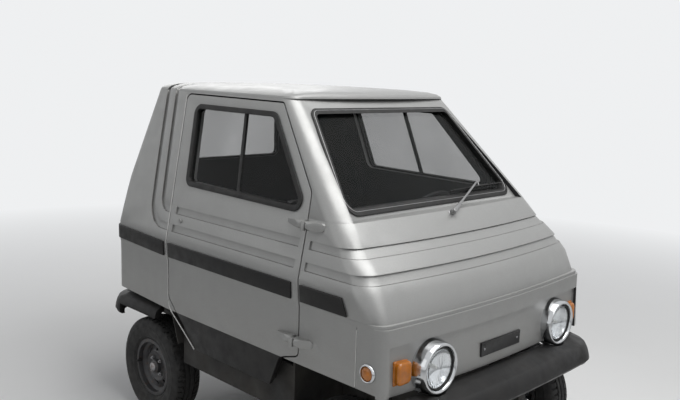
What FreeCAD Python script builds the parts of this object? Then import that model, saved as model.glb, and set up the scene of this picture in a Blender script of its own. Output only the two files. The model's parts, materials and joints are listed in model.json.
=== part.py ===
import FreeCAD, Part
import Sketcher
import math
import os
import re

# Two-seat electric microcar. X points forward, Y to the left and Z up, all in millimetres.
# The origin is on the ground, midway between the outer faces of the two bumpers.

doc = FreeCAD.newDocument("microcar")
Vector = FreeCAD.Vector

SIZES = (
    # name, value
    ("body_half_width", 675),
    ("nose_face", 930),
    ("rear_face", -945),
    ("skirt_height", 455),
    ("sill_height", 600),
    ("border_height", 772),
    ("lower_ridge_height", 822),
    ("upper_ridge_height", 834),
    ("lip_height", 846),
    ("strip_top", 914),
    ("waist_height", 930),
    ("bend_height", 1000),
    ("bonnet_break_height", 1075),
    ("ledge_height", 1152),
    ("eaves_height", 1580),
    ("ledge_depth", 16),
    ("panel_wall", 26),
    ("door_thickness", 44),
    ("door_skin", 18),
    ("door_rebate", 12),
    ("door_gap", 6),
    ("strip_proud", 8),
    ("channel_width", 32),
    ("channel_depth", 9),
    ("recess_depth", 12),
    ("wheelbase", 1300),
    ("front_axle_place", 655),
    ("wheel_track", 1121),
    ("tyre_radius", 245),
    ("tyre_width", 145),
    ("bead_radius", 127),
    ("flange_radius", 139),
    ("drop_radius", 112),
    ("rim_width", 110),
    ("rim_sheet", 4),
    ("spindle_radius", 15),
    ("hub_radius", 42),
    ("kingpin_place", 455),
    ("kingpin_radius", 17),
    ("fit_gap", 0.3),
    ("floor_bottom", 340),
    ("floor_plate", 12),
    ("floor_half", 600),
    ("floor_front", 377),
    ("floor_rear", -392),
    ("liner_height", 600),
    ("tunnel_half", 330),
    ("footwell_front", 640),
    ("bulkhead_top", 900),
    ("rail_place", 250),
    ("rail_width", 50),
    ("rail_height", 60),
    ("rail_front", 880),
    ("rail_rear", -900),
    ("arm_height", 190),
    ("arm_radius", 15),
    ("strut_radius", 22),
    ("axle_radius", 30),
    ("spring_radius", 36),
    ("spring_place", 360),
    ("motor_length", 190),
    ("motor_width", 260),
    ("motor_height", 220),
    ("battery_length", 360),
    ("battery_width", 900),
    ("battery_height", 150),
    ("seat_width", 440),
    ("seat_length", 450),
    ("seat_depth", 110),
    ("seat_back_height", 520),
    ("seat_back_depth", 90),
    ("seat_rake", 14),
    ("seat_place", 255),
    ("dash_rear", 455),
    ("dash_bottom", 860),
    ("dash_top", 1045),
    ("dash_half", 560),
    ("steering_wheel_radius", 180),
    ("steering_rim_radius", 11),
    ("column_rake", 28),
    ("column_radius", 26),
    ("glass_thickness", 5),
    ("gasket_width", 22),
    ("gasket_depth", 14),
    ("gasket_proud", 6),
    ("lamp_place", 414),
    ("lamp_height", 662),
    ("lamp_root_radius", 104),
    ("lamp_ring_radius", 95),
    ("lens_radius", 76),
    ("plate_length", 266),
    ("plate_height", 56),
    ("plate_place_height", 659),
    ("bumper_bottom", 462),
    ("bumper_reach", 1030),
    ("bumper_wall", 30),
    ("hinge_place", 460),
    ("hinge_upper_height", 1130),
    ("hinge_lower_height", 695),
    ("hinge_stand_off", 35),
    ("hinge_pin_radius", 4),
    ("hinge_barrel_radius", 9),
    ("hinge_barrel_height", 26),
    ("pod_height", 32),
    ("tow_eye_radius", 12),
    ("tow_eye_plate", 10),
)

sheet = doc.addObject("Spreadsheet::Sheet", "Sizes")
for row, (name, value) in enumerate(SIZES, start=1):
    sheet.set("A%d" % row, name)
    sheet.set("B%d" % row, str(value))
    sheet.setAlias("B%d" % row, name)
doc.recompute()


def size(name):
    return float(sheet.get(name))


def formula(text):
    return re.sub(r"[a-z][a-z_]*", r"Sizes.\g<0>", text)


def bind(thing, prop, text):
    thing.setExpression(prop, formula(text))


nodes = []


def keep(thing, label):
    thing.Label = label
    nodes.append(thing)
    return thing


def shape_node(label, shape):
    thing = doc.addObject("Part::Feature", label)
    thing.Shape = shape
    return keep(thing, label)


# Parametric blocks and cylinders, each bound to the sheet by its low and high corners.

def block(name, low, high):
    thing = doc.addObject("Part::Box", name)
    for prop, first, last in zip(("Length", "Width", "Height"), low, high):
        bind(thing, prop, "(%s) - (%s)" % (last, first))
    for axis, first in zip("xyz", low):
        bind(thing, "Placement.Base." + axis, first)
    return thing


AXES = {
    "x": FreeCAD.Rotation(Vector(0, 1, 0), 90),
    "y": FreeCAD.Rotation(Vector(1, 0, 0), -90),
    "z": FreeCAD.Rotation(),
}


def rod(name, axis, radius, start, length):
    thing = doc.addObject("Part::Cylinder", name)
    bind(thing, "Radius", radius)
    bind(thing, "Height", length)
    thing.Placement = FreeCAD.Placement(Vector(), AXES[axis])
    for letter, place in zip("xyz", start):
        bind(thing, "Placement.Base." + letter, place)
    return thing


def fuse(label, pieces):
    thing = doc.addObject("Part::MultiFuse", label)
    thing.Shapes = pieces
    return keep(thing, label)


def cut(name, base, tool):
    thing = doc.addObject("Part::Cut", name)
    thing.Base = base
    thing.Tool = tool
    return thing


# Body sections. Each row is one level of the body, read from above, as distances in from the driving
# faces: rear line, side, tail of the side, start of the front corner, end of the nose line, its
# middle, and the half breadth that the nose corner takes.

LEVELS = (
    # height, rear_in, side_in, tail_in, knee, corner_back, nose_back, middle_back, corner_breadth
    ("skirt_height", 5, 22, 34, -430, 72, 40, 5, 22),
    ("sill_height", 0, 11, 32, -430, 72, 38, 0, 24),
    ("border_height", 0, 11, 32, -430, 94, 42, 7, 35),
    ("lower_ridge_height", 0, 10, 32, -430, 100, 42, 10, 38),
    ("upper_ridge_height", 0, 8, 32, -430, 112, 50, 18, 46),
    ("lip_height", 0, 5, 36, -430, 146, 62, 27, 68),
    ("waist_height", 0, 0, 40, -430, 192, 100, 53, 80),
    ("bend_height", 0, 19, 40, -441, 242, 152, 115, 82),
    ("bonnet_break_height", 0, 40, 40, -452, 326, 240, 206, 78),
    ("ledge_height", 4, 61, 40, -464, 400, 308, 308, 70),
    ("eaves_height", 88, 178, 40, -530, 792, 736, 736, 54),
)
TAIL_CORNER = 66
SMALLEST_CORNER = 6


def section(level, inset=0.0):
    """The numbers of one level, moved inwards by inset."""
    name, rear_in, side_in, tail_in, knee, corner_back, nose_back, middle_back, breadth = level
    side = size("body_half_width") - side_in - inset
    tail = side - tail_in
    rear = size("rear_face") + rear_in + inset
    tail_place = size("rear_face") + rear_in + max(TAIL_CORNER, inset + SMALLEST_CORNER)
    rear_end = tail - max(TAIL_CORNER - inset, SMALLEST_CORNER)
    nose = size("nose_face") - nose_back - inset
    nose_end = side - max(breadth - inset, SMALLEST_CORNER)
    corner = min(size("nose_face") - corner_back, nose - SMALLEST_CORNER)
    middle = size("nose_face") - middle_back - inset
    return (size(name), rear, rear_end, tail_place, tail, knee, side, corner, nose, nose_end, middle)


def rounded(first, last, centre):
    """Quarter of a stretched circle as one arc through its middle."""
    turn = math.sqrt(0.5)
    spread = first + last - centre * 2
    return Part.Arc(first, centre + spread * turn, last).toShape()


def plan(numbers):
    height, rear, rear_end, tail_place, tail, knee, side, corner, nose, nose_end, middle = numbers

    def spot(x, y):
        return Vector(x, y, height)

    edges = [
        Part.LineSegment(spot(rear, rear_end), spot(rear, -rear_end)).toShape(),
        rounded(spot(rear, -rear_end), spot(tail_place, -tail), spot(tail_place, -rear_end)),
        Part.LineSegment(spot(tail_place, -tail), spot(knee, -side)).toShape(),
        Part.LineSegment(spot(knee, -side), spot(corner, -side)).toShape(),
        rounded(spot(corner, -side), spot(nose, -nose_end), spot(corner, -nose_end)),
    ]
    if abs(middle - nose) < 1:
        edges.append(Part.LineSegment(spot(nose, -nose_end), spot(nose, nose_end)).toShape())
    else:
        edges.append(Part.Arc(spot(nose, -nose_end), spot(middle, 0), spot(nose, nose_end)).toShape())
    edges += [
        rounded(spot(nose, nose_end), spot(corner, side), spot(corner, nose_end)),
        Part.LineSegment(spot(corner, side), spot(knee, side)).toShape(),
        Part.LineSegment(spot(knee, side), spot(tail_place, tail)).toShape(),
        rounded(spot(tail_place, tail), spot(rear, rear_end), spot(tail_place, rear_end)),
    ]
    return Part.Wire(edges)


def skin(levels, inset=0.0):
    """Solid through the named levels, each moved inwards by inset."""
    numbers = [section(level, inset) for level in LEVELS if level[0] in levels]
    return Part.makeLoft([plan(row) for row in numbers], True, True)


def stack(solids):
    whole = solids[0]
    for solid in solids[1:]:
        whole = whole.fuse(solid)
    return whole.removeSplitter()


LOWER = ("skirt_height", "sill_height", "border_height", "lower_ridge_height")
RIDGE = ("upper_ridge_height",)
UPPER = ("lip_height", "waist_height", "bend_height", "bonnet_break_height")
CABIN = ("ledge_height", "eaves_height")


def step(level_name, above, inset=0.0):
    """Upright band from one level to the height of the next, so that the next starts on a ledge."""
    row = list([section(level, inset) for level in LEVELS if level[0] == level_name][0])
    top = list(row)
    top[0] = size(above)
    return Part.makeLoft([plan(row), plan(top)], True, True)


def bonnet_top(inset=0.0):
    """From the break up to the ledge under the windscreen, bowed ahead of the flat screen."""
    rows = [section(level, inset) for level in LEVELS]
    low = [row for level, row in zip(LEVELS, rows) if level[0] == "bonnet_break_height"][0]
    high = list([row for level, row in zip(LEVELS, rows) if level[0] == "ledge_height"][0])
    high[10] = high[8] + size("ledge_depth")
    return Part.makeLoft([plan(low), plan(high)], True, True)


def envelope(inset=0.0):
    """The whole closed body from the foot of the doors to the eaves."""
    return stack([
        skin(LOWER, inset),
        step("lower_ridge_height", "upper_ridge_height", inset),
        step("upper_ridge_height", "lip_height", inset),
        skin(UPPER, inset),
        bonnet_top(inset),
        skin(CABIN, inset),
    ])


FAR = 3000.0


def slab(low, high):
    corner = Vector(*low)
    reach = Vector(*high) - corner
    return Part.makeBox(reach.x, reach.y, reach.z, corner)


def between(low_height, high_height):
    return slab((-FAR, -FAR, low_height), (FAR, FAR, high_height))


outer = envelope()
inner = envelope(size("panel_wall"))
door_inner = envelope(size("door_thickness"))
door_middle = envelope(size("door_skin"))
wall = outer.cut(inner)
channel_layer = outer.cut(envelope(size("channel_depth")))
recess_layer = outer.cut(envelope(size("recess_depth")))
strip_layer = envelope(-size("strip_proud")).cut(outer)


# Outlines seen square on. Each corner is two places and the radius that rounds it.

def rounded_face(corners, place):
    """Flat face through the corners, each rounded by its own radius and set in space by place."""
    spots = [place(first, second) for first, second, radius in corners]
    edges = []
    ends = []
    for index, (first, second, radius) in enumerate(corners):
        here = spots[index]
        back = spots[index - 1] - here
        ahead = spots[(index + 1) % len(spots)] - here
        back.normalize()
        ahead.normalize()
        half = back.getAngle(ahead) / 2
        reach = radius / math.tan(half)
        middle = back + ahead
        middle.normalize()
        ends.append((here + back * reach, here + ahead * reach))
        if radius > 0:
            bulge = here + middle * (radius / math.sin(half) - radius)
            edges.append(Part.Arc(ends[-1][0], bulge, ends[-1][1]).toShape())
        else:
            edges.append(None)
    loop = []
    for index, arc in enumerate(edges):
        if arc is not None:
            loop.append(arc)
        loop.append(Part.LineSegment(ends[index][1], ends[(index + 1) % len(ends)][0]).toShape())
    return Part.Face(Part.Wire(loop))


def side_face(corners, margin=0.0):
    face = rounded_face(corners, lambda x, z: Vector(x, -FAR, z))
    return face.makeOffset2D(margin) if margin else face


def front_face(corners, margin=0.0):
    face = rounded_face(corners, lambda y, z: Vector(0, y, z))
    return face.makeOffset2D(margin) if margin else face


def across(face):
    return face.extrude(Vector(0, 2 * FAR, 0))


def ahead(face):
    return face.extrude(Vector(FAR, 0, 0))


def astern(face):
    return face.extrude(Vector(-FAR, 0, 0))


DOOR_OUTLINE = (
    # x, z, radius
    (-418, 662, 40),
    (-420, 950, 0),
    (-513, 1568, 26),
    (158, 1562, 18),
    (430, 1243, 40),
    (446, 1102, 0),
    (460, 935, 0),
    (460, 632, 22),
    (354, 599, 60),
    (285, 460, 0),
    (-215, 460, 0),
)
DOOR_WINDOW = (
    # x, z, radius of the outer edge of the gasket
    (-431, 1531, 40),
    (134, 1527, 60),
    (444, 1163, 42),
    (-367, 1173, 45),
)
DIVIDER = ((-75, 1530), (-2, 1165))
DIVIDER_WIDTH = 16
WINDSCREEN = (
    # y, z, radius of the outer edge of the gasket
    (-546, 1166, 52),
    (546, 1166, 52),
    (434, 1545, 45),
    (-434, 1545, 45),
)
SCREEN_POCKET = (
    # y, z, radius of the pocket that the windscreen lies in
    (-558, 1130, 0),
    (558, 1130, 0),
    (443, 1553, 48),
    (-443, 1553, 48),
)
SCREEN_LINE = (
    # x, z of the foot and head of the pocket's floor
    (575, 1166),
    (235, 1545),
)
REAR_WINDOW = (
    (-400, 1195, 45),
    (400, 1195, 45),
    (340, 1520, 40),
    (-340, 1520, 40),
)
gasket_width = size("gasket_width")
doorway = across(side_face(DOOR_OUTLINE, size("door_gap")))

# Recessed channels: two bands along the doors and round the nose, which turn up the rear pillar.

CHANNEL_START = -380
DOOR_CHANNEL = (-398, 424)
NOSE_CHANNEL_START = 482
CHANNELS = (
    # foot of the band, middle of its bend, outer radius of its bend
    (1043, -471, 75),
    (965, -495, 140),
)
PILLAR_LEAN = math.radians(11.5)
PILLAR_CHANNEL_TOP = 1660


def pillar_band(foot, bend_place, radius):
    """Band that runs back from the door and turns up along the rear pillar."""
    width = size("channel_width")
    down = math.radians(270)
    level = math.pi + PILLAR_LEAN
    climb = Vector(-math.sin(PILLAR_LEAN), 0, math.cos(PILLAR_LEAN))

    def on_arc(reach, angle):
        return Vector(bend_place + reach * math.cos(angle), -FAR, foot + radius + reach * math.sin(angle))

    def top_of(reach):
        low = on_arc(reach, level)
        return low + climb * ((PILLAR_CHANNEL_TOP - low.z) / climb.z)

    outside, inside = radius, radius - width
    start_low = Vector(CHANNEL_START, -FAR, foot)
    start_high = Vector(CHANNEL_START, -FAR, foot + width)
    half_way = (down + level) / 2
    edges = [
        Part.LineSegment(start_low, on_arc(outside, down)).toShape(),
        Part.Arc(on_arc(outside, down), on_arc(outside, half_way), on_arc(outside, level)).toShape(),
        Part.LineSegment(on_arc(outside, level), top_of(outside)).toShape(),
        Part.LineSegment(top_of(outside), top_of(inside)).toShape(),
        Part.LineSegment(top_of(inside), on_arc(inside, level)).toShape(),
        Part.Arc(on_arc(inside, level), on_arc(inside, half_way), on_arc(inside, down)).toShape(),
        Part.LineSegment(on_arc(inside, down), start_high).toShape(),
        Part.LineSegment(start_high, start_low).toShape(),
    ]
    return across(Part.Face(Part.Wire(edges)))


channel_width = size("channel_width")
pillar_bands = stack([pillar_band(*row) for row in CHANNELS])
pillar_channels = pillar_bands.common(channel_layer)
nose_channels = [slab((NOSE_CHANNEL_START, -FAR, foot), (FAR, FAR, foot + channel_width))
                 for foot, bend_place, radius in CHANNELS]
nose_channels = Part.makeCompound(nose_channels).common(channel_layer)
door_channels = [slab((DOOR_CHANNEL[0], -FAR, foot), (DOOR_CHANNEL[1], FAR, foot + channel_width))
                 for foot, bend_place, radius in CHANNELS]
door_channels = Part.makeCompound(door_channels).common(channel_layer)


# Windows. The rubber laps over the edge of its hole and holds the glass in its middle.

GLASS_SET_BACK = 9


def layer(first, last):
    """Skin of the cabin from one depth to a deeper one."""
    return skin(CABIN, first).cut(skin(CABIN, last))


foot, head = (Vector(x, -FAR, z) for x, z in SCREEN_LINE)
screen_climb = (head - foot).normalize()
screen_normal = Vector(screen_climb.z, 0, -screen_climb.x)


def screen_layer(first, last):
    """Flat slab behind the floor of the windscreen's pocket, from one depth to a deeper one."""
    low = foot - screen_climb * FAR / 10
    high = head + screen_climb * FAR / 10
    loop = [low - screen_normal * first, high - screen_normal * first,
            high - screen_normal * last, low - screen_normal * last]
    return across(Part.Face(Part.makePolygon(loop + loop[:1])))


def window(outline, face_of, run, layer_of=layer):
    """Hole, rubber and glass for one outline."""
    hole = run(face_of(outline, -gasket_width / 2))
    inside = run(face_of(outline, -gasket_width))
    lip = run(face_of(outline)).cut(inside).common(layer_of(-size("gasket_proud"), 0))
    lining = hole.cut(inside).common(layer_of(0, size("gasket_depth") + GLASS_SET_BACK))
    glass = inside.common(layer_of(GLASS_SET_BACK, GLASS_SET_BACK + size("glass_thickness")))
    return hole, lip.fuse(lining).removeSplitter(), glass


screen_hole, screen_rubber, screen_glass = window(WINDSCREEN, front_face, ahead, screen_layer)
rear_hole, rear_rubber, rear_glass = window(REAR_WINDOW, front_face, astern)
door_hole, door_rubber, door_glass = window(DOOR_WINDOW, side_face, across)
SCREEN_FRAME = 16
SCREEN_JAMB = 12
pocket = ahead(front_face(SCREEN_POCKET))
pocket_round = ahead(front_face(SCREEN_POCKET, SCREEN_JAMB))
screen_pocket = pocket.common(screen_layer(-150, 0))
screen_frame = pocket_round.cut(screen_hole).common(screen_layer(0, SCREEN_FRAME))
screen_frame = screen_frame.fuse(pocket_round.cut(pocket).common(screen_layer(-150, 0))).common(outer)
left_half = slab((-FAR, 0, -FAR), (FAR, FAR, FAR))
right_half = slab((-FAR, -FAR, -FAR), (FAR, 0, FAR))
top_spot, low_spot = DIVIDER
half_bar = DIVIDER_WIDTH / 2
divider_corners = (
    (top_spot[0] - half_bar, top_spot[1], 0),
    (low_spot[0] - half_bar, low_spot[1], 0),
    (low_spot[0] + half_bar, low_spot[1], 0),
    (top_spot[0] + half_bar, top_spot[1], 0),
)
divider_prism = across(side_face(divider_corners)).common(across(side_face(DOOR_WINDOW, -gasket_width)))
divider = divider_prism.common(layer(GLASS_SET_BACK - 4, GLASS_SET_BACK + 10))
door_rubber = door_rubber.fuse(divider)
door_glass = door_glass.cut(divider)

# Hinges: a pin that leans with the side, held in pods on the front wing and on the door.


def side_at(height):
    """Half width of the body's side at a height."""
    rows = [section(level) for level in LEVELS]
    for low, high in zip(rows, rows[1:]):
        if low[0] <= height <= high[0]:
            share = (height - low[0]) / (high[0] - low[0])
            return low[6] + share * (high[6] - low[6])
    raise ValueError("no side at this height")


def hinge_spot(name, side):
    height = size(name)
    return Vector(size("hinge_place"), side * (side_at(height) + size("hinge_stand_off")), height)


HINGES = ("hinge_upper_height", "hinge_lower_height")
POD_REAR = -118
POD_FRONT = 84
POD_SPLIT = 14
POD_FRONT_START = 5
POD_TIP = 7
POD_TIP_PROUD = 4
WEB_INSIDE = -9
POD_ROUNDING = 13
DOOR_POD_TOP = -6
WING_POD_TOP = 4


def hinge_parts(name, side):
    """Pin and pod of the wing, and pod of the door, about one hinge."""
    spot = hinge_spot(name, side)
    line = hinge_spot(HINGES[0], side) - hinge_spot(HINGES[1], side)
    line.normalize()
    barrel_height = size("hinge_barrel_height")
    barrel_radius = size("hinge_barrel_radius")
    fit_gap = size("fit_gap")
    pod_height = size("pod_height")
    skin_place = -size("hinge_stand_off")

    def plan_prism(corners):
        face = rounded_face([(x, y, r) for x, y, r in corners],
                            lambda x, y: Vector(spot.x + x, spot.y + side * y, spot.z - pod_height / 2))
        return face.extrude(Vector(0, 0, pod_height))

    half = pod_height / 2
    outline = rounded_face(
        ((POD_REAR, -POD_TIP, POD_TIP - 1), (-30, -half, 40), (POD_FRONT, -half, half - 1),
         (POD_FRONT, half, half - 1), (-30, half, 40), (POD_REAR, POD_TIP, POD_TIP - 1)),
        lambda x, z: Vector(spot.x + x, -FAR, spot.z + z))
    side_prism = across(outline)
    deep = skin_place - 30

    def end_prism(top):
        """Round-shouldered section seen from ahead, run along the pods."""
        section = ((deep, -half, 0), (top, -half, POD_ROUNDING), (top, half, POD_ROUNDING), (deep, half, 0))
        face = rounded_face(
            section, lambda y, z: Vector(spot.x + POD_REAR - 2, spot.y + side * y, spot.z + z))
        return face.extrude(Vector(POD_FRONT - POD_REAR + 4, 0, 0))

    door_pod = plan_prism(((POD_REAR - 1, deep, 0), (POD_REAR - 1, skin_place + POD_TIP_PROUD, 0),
                           (-40, DOOR_POD_TOP, 60), (-POD_SPLIT, DOOR_POD_TOP, 4), (-POD_SPLIT, deep, 0)))
    wing_pod = plan_prism(((POD_FRONT_START, deep, 0), (POD_FRONT_START, WING_POD_TOP, 4),
                           (30, WING_POD_TOP, 60), (POD_FRONT + 1, skin_place + POD_TIP_PROUD, 20),
                           (POD_FRONT + 1, deep, 0)))
    door_pod = door_pod.common(side_prism).common(end_prism(DOOR_POD_TOP))
    wing_pod = wing_pod.common(side_prism).common(end_prism(WING_POD_TOP))

    def drum(radius, low, high):
        return Part.makeCylinder(radius, high - low, spot + line * low, line)

    rise = barrel_height / 2
    ear = half + 2
    hinge_room = drum(barrel_radius + 6, -rise - fit_gap, rise + fit_gap)
    ears = drum(barrel_radius, -ear, -rise - fit_gap).fuse(drum(barrel_radius, rise + fit_gap, ear))
    near, far = sorted((spot.y + side * WEB_INSIDE, spot.y + side * 4))
    bridge = slab((spot.x, near, spot.z - half), (spot.x + POD_FRONT_START + 1, far, spot.z + half))
    pin = drum(size("hinge_pin_radius"), -ear, ear)
    wing = wing_pod.fuse(bridge).cut(hinge_room).fuse(ears).fuse(pin).cut(outer)
    near, far = sorted((spot.y + side * WEB_INSIDE, spot.y - side))
    web = slab((spot.x - POD_SPLIT - 1, near, spot.z - rise + 1), (spot.x, far, spot.z + rise - 1))
    barrel = drum(barrel_radius, -rise, rise)
    bore = drum(size("hinge_pin_radius") + fit_gap, -rise - 1, rise + 1)
    door = door_pod.fuse(web).fuse(barrel).cut(bore).cut(outer)
    return wing.removeSplitter(), door.removeSplitter()


wing_pods = {}
door_pods = {}
for side in (1, -1):
    for name in HINGES:
        wing_pods[name, side], door_pods[name, side] = hinge_parts(name, side)

# Fixed body panels, split where the real ones meet.

PANEL_SPLIT = 880
REAR_SIDE = -300
FRONT_SIDE = 290
eaves = size("eaves_height")
ledge = size("ledge_height")
lip = size("lip_height")
sill = size("sill_height")

cabin = stack([
    wall.common(between(ledge, eaves)),
    wall.common(slab((-FAR, -FAR, PANEL_SPLIT), (REAR_SIDE, FAR, ledge))),
])
cabin = cabin.cut(screen_pocket).fuse(screen_frame.common(between(ledge, eaves)))
cabin = cabin.cut(doorway).cut(screen_hole).cut(rear_hole).cut(pillar_channels)
shape_node("cabin_shell", cabin.removeSplitter())

SCREEN_FOOT = (560, 612)
SCREEN_FOOT_HALF = 552
SCREEN_FOOT_PLATE = 14
bonnet = wall.common(slab((FRONT_SIDE, -FAR, lip), (FAR, FAR, ledge))).cut(doorway).cut(nose_channels)
screen_foot = slab((SCREEN_FOOT[0], -SCREEN_FOOT_HALF, ledge - SCREEN_FOOT_PLATE),
                   (SCREEN_FOOT[1], SCREEN_FOOT_HALF, ledge))
bonnet = bonnet.fuse([screen_foot] + [wing_pods[HINGES[0], side] for side in (1, -1)])
shape_node("bonnet", bonnet.removeSplitter())

RECESS_HALF = 630
FASCIA_START = 860
FASCIA_DROP = 10
CREASE_PLACE = 761
CREASE_WIDTH = 3
CREASE_DEPTH = 2
recess = slab((0, -RECESS_HALF, -FAR), (FAR, RECESS_HALF, size("border_height"))).common(recess_layer)
crease = slab((CREASE_PLACE, -FAR, 0), (CREASE_PLACE + CREASE_WIDTH, FAR, size("lower_ridge_height")))
crease = crease.common(outer.cut(envelope(CREASE_DEPTH)))
nose = wall.common(slab((FRONT_SIDE, -FAR, sill), (FAR, FAR, lip)))
nose = nose.fuse(wall.common(slab((FASCIA_START, -FAR, sill - FASCIA_DROP), (FAR, FAR, sill))))
nose = nose.removeSplitter().cut(doorway).cut(recess).cut(crease)
nose = nose.fuse([wing_pods[HINGES[1], side] for side in (1, -1)]).removeSplitter()
shape_node("nose_panel", nose)

tail = wall.common(slab((-FAR, -FAR, sill), (REAR_SIDE, FAR, PANEL_SPLIT))).cut(doorway)
shape_node("tail_panel", tail.removeSplitter())

# Roof: a crowned lid whose lip stands out over the screen and the door tops.

ROOF_THICKNESS = 22
ROOF_LEVELS = (
    # above the eaves, rear_in, side_in, knee, corner_back, nose_back, middle_back, corner_breadth
    (0, 88, 178, -530, 792, 728, 712, 54),
    (10, 91, 183, -530, 796, 730, 714, 56),
    (20, 100, 199, -520, 812, 738, 722, 60),
    (29, 122, 232, -500, 850, 762, 744, 64),
    (36, 172, 296, -462, 930, 840, 822, 66),
    (41, 270, 400, -410, 1060, 980, 970, 60),
)
ROOF_CHANNEL_INNER = 385


def roof_level(row, inset=0.0):
    above, rear_in, side_in, knee, corner_back, nose_back, middle_back, breadth = row
    side = size("body_half_width") - side_in - inset
    tail = side - 40
    rear = size("rear_face") + rear_in + inset
    nose_place = size("nose_face") - nose_back - inset
    return plan((eaves + above - inset, rear, tail - TAIL_CORNER, rear + TAIL_CORNER, tail, knee, side,
                 size("nose_face") - corner_back - inset, nose_place, side - breadth,
                 size("nose_face") - middle_back - inset))


roof = Part.makeLoft([roof_level(row) for row in ROOF_LEVELS], True, True)
roof_core = Part.makeLoft([roof_level(row, size("channel_depth")) for row in ROOF_LEVELS], True, True)
roof_middle = slab((-FAR, -ROOF_CHANNEL_INNER, 0), (FAR, ROOF_CHANNEL_INNER, FAR))
roof_channels = roof.cut(roof_core).common(pillar_bands).cut(roof_middle)
ROOF_HOLLOW_HEIGHT = 14
above, rear_in, side_in, knee, corner_back, nose_back, middle_back, breadth = ROOF_LEVELS[1]
inside = (rear_in + ROOF_THICKNESS, side_in + ROOF_THICKNESS, knee, corner_back + ROOF_THICKNESS,
          nose_back + ROOF_THICKNESS, middle_back + ROOF_THICKNESS, 40)
hollow_levels = [roof_level((height,) + inside) for height in (0, ROOF_HOLLOW_HEIGHT)]
roof_hollow = Part.makeLoft(hollow_levels, True, True)
shape_node("roof", roof.cut(roof_hollow).cut(roof_channels))

# Waist strips, with silver gaps at the door edges.

strip_band = between(lip + 2, size("strip_top"))
STRIP_REAR_END = -445
STRIP_DOOR = (-405, 425)
STRIP_WING = (475, 705)
rear_strip = strip_layer.common(strip_band).common(slab((-FAR, -FAR, 0), (STRIP_REAR_END, FAR, FAR)))
wing_ends = across(side_face(((STRIP_WING[0], lip, 0), (STRIP_WING[0], 950, 0),
                              (STRIP_WING[1] - 24, 950, 0), (STRIP_WING[1] + 16, lip, 0))))
wing_strips = strip_layer.common(strip_band).common(wing_ends)
shape_node("body_strips", Part.makeCompound(rear_strip.Solids + wing_strips.Solids))

# Doors. Each is its outer skin, an inner frame stepped in all round, the window and the hinges.

door_skin_prism = across(side_face(DOOR_OUTLINE))
door_frame_prism = across(side_face(DOOR_OUTLINE, -size("door_rebate")))
door_whole = door_skin_prism.common(outer.cut(door_middle))
door_whole = door_whole.fuse(door_frame_prism.common(door_middle.cut(door_inner))).removeSplitter()
door_whole = door_whole.cut(door_hole).cut(door_channels)
door_strip = strip_layer.common(strip_band)
door_strip = door_strip.common(slab((STRIP_DOOR[0], -FAR, 0), (STRIP_DOOR[1], FAR, FAR)))
LOCK_PLACE = (-344, 1020)
LOCK_RADIUS = 9
LOCK_PROUD = 6
SIDES = (("left", 1, left_half), ("right", -1, right_half))
for word, side, half_space in SIDES:
    half_door = door_whole.common(half_space)
    shape_node(word + "_door_panel", half_door.common(between(sill, FAR)))
    skirt = half_door.common(between(0, sill))
    strip = door_strip.common(half_space)
    shape_node(word + "_door_trim", Part.makeCompound(skirt.Solids + strip.Solids))
    shape_node(word + "_door_rubber", door_rubber.common(half_space))
    panes = door_glass.common(half_space)
    shape_node(word + "_door_glass", Part.makeCompound(panes.Solids))
    lock_skin = side * (side_at(LOCK_PLACE[1]) - 20)
    lock_spot = Vector(LOCK_PLACE[0], lock_skin, LOCK_PLACE[1])
    lock = Part.makeCylinder(LOCK_RADIUS, 20 + LOCK_PROUD, lock_spot, Vector(0, side, 0)).cut(outer)
    pods = [door_pods[name, side] for name in HINGES]
    shape_node(word + "_door_fittings", Part.makeCompound(pods + [lock]))

shape_node("windscreen", screen_glass)
shape_node("rear_window", rear_glass)
shape_node("window_rubbers", Part.makeCompound(screen_rubber.Solids + rear_rubber.Solids))

# Floor pan: plate, inner sills, wheel-house tops, footwell and bulkhead, fitted inside the body walls.

inside_space = inner


def inside_block(low, high):
    return slab(low, high).common(inside_space)


floor_bottom = size("floor_bottom")
plate = size("floor_plate")
floor_half = size("floor_half")
floor_front = size("floor_front")
floor_rear = size("floor_rear")
liner = size("liner_height")
tunnel_half = size("tunnel_half")
footwell_front = size("footwell_front")
bulkhead_top = size("bulkhead_top")
SILL_WALL_TOP = 545
LINER_REAR_END = size("rear_face") + 10
LINER_FRONT_END = size("nose_face")
WHEEL_TOP_START = 474
floor_pieces = [
    slab((floor_rear, -floor_half, floor_bottom), (floor_front, floor_half, floor_bottom + plate)),
    slab((floor_front, -tunnel_half, floor_bottom), (footwell_front, tunnel_half, floor_bottom + plate)),
    slab((footwell_front, -tunnel_half, floor_bottom), (footwell_front + plate, tunnel_half, liner + plate)),
    slab((floor_rear, -floor_half, floor_bottom), (floor_rear + plate, floor_half, liner + plate)),
    inside_block((LINER_REAR_END, -FAR, liner), (floor_rear + plate, FAR, liner + plate)),
    inside_block((footwell_front, -FAR, liner), (footwell_front + plate, FAR, bulkhead_top)),
    inside_block((footwell_front, -FAR, liner), (LINER_FRONT_END, FAR, liner + plate)),
]
for side in (1, -1):
    near, far = sorted((side * (floor_half - plate), side * floor_half))
    floor_pieces.append(slab((floor_rear, near, floor_bottom), (floor_front, far, SILL_WALL_TOP)))
    near, far = sorted((side * (tunnel_half - plate), side * tunnel_half))
    floor_pieces.append(slab((floor_front, near, floor_bottom), (footwell_front, far, liner + plate)))
    near, far = sorted((side * (tunnel_half - plate), side * floor_half))
    floor_pieces.append(slab((floor_front - plate, near, floor_bottom), (floor_front, far, liner + plate)))
    near, far = sorted((side * tunnel_half, side * floor_half))
    floor_pieces.append(slab((floor_front, near, liner), (WHEEL_TOP_START, far, liner + plate)))
    near, far = sorted((side * tunnel_half, side * FAR))
    floor_pieces.append(inside_block((WHEEL_TOP_START, near, liner), (footwell_front, far, liner + plate)))
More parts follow.
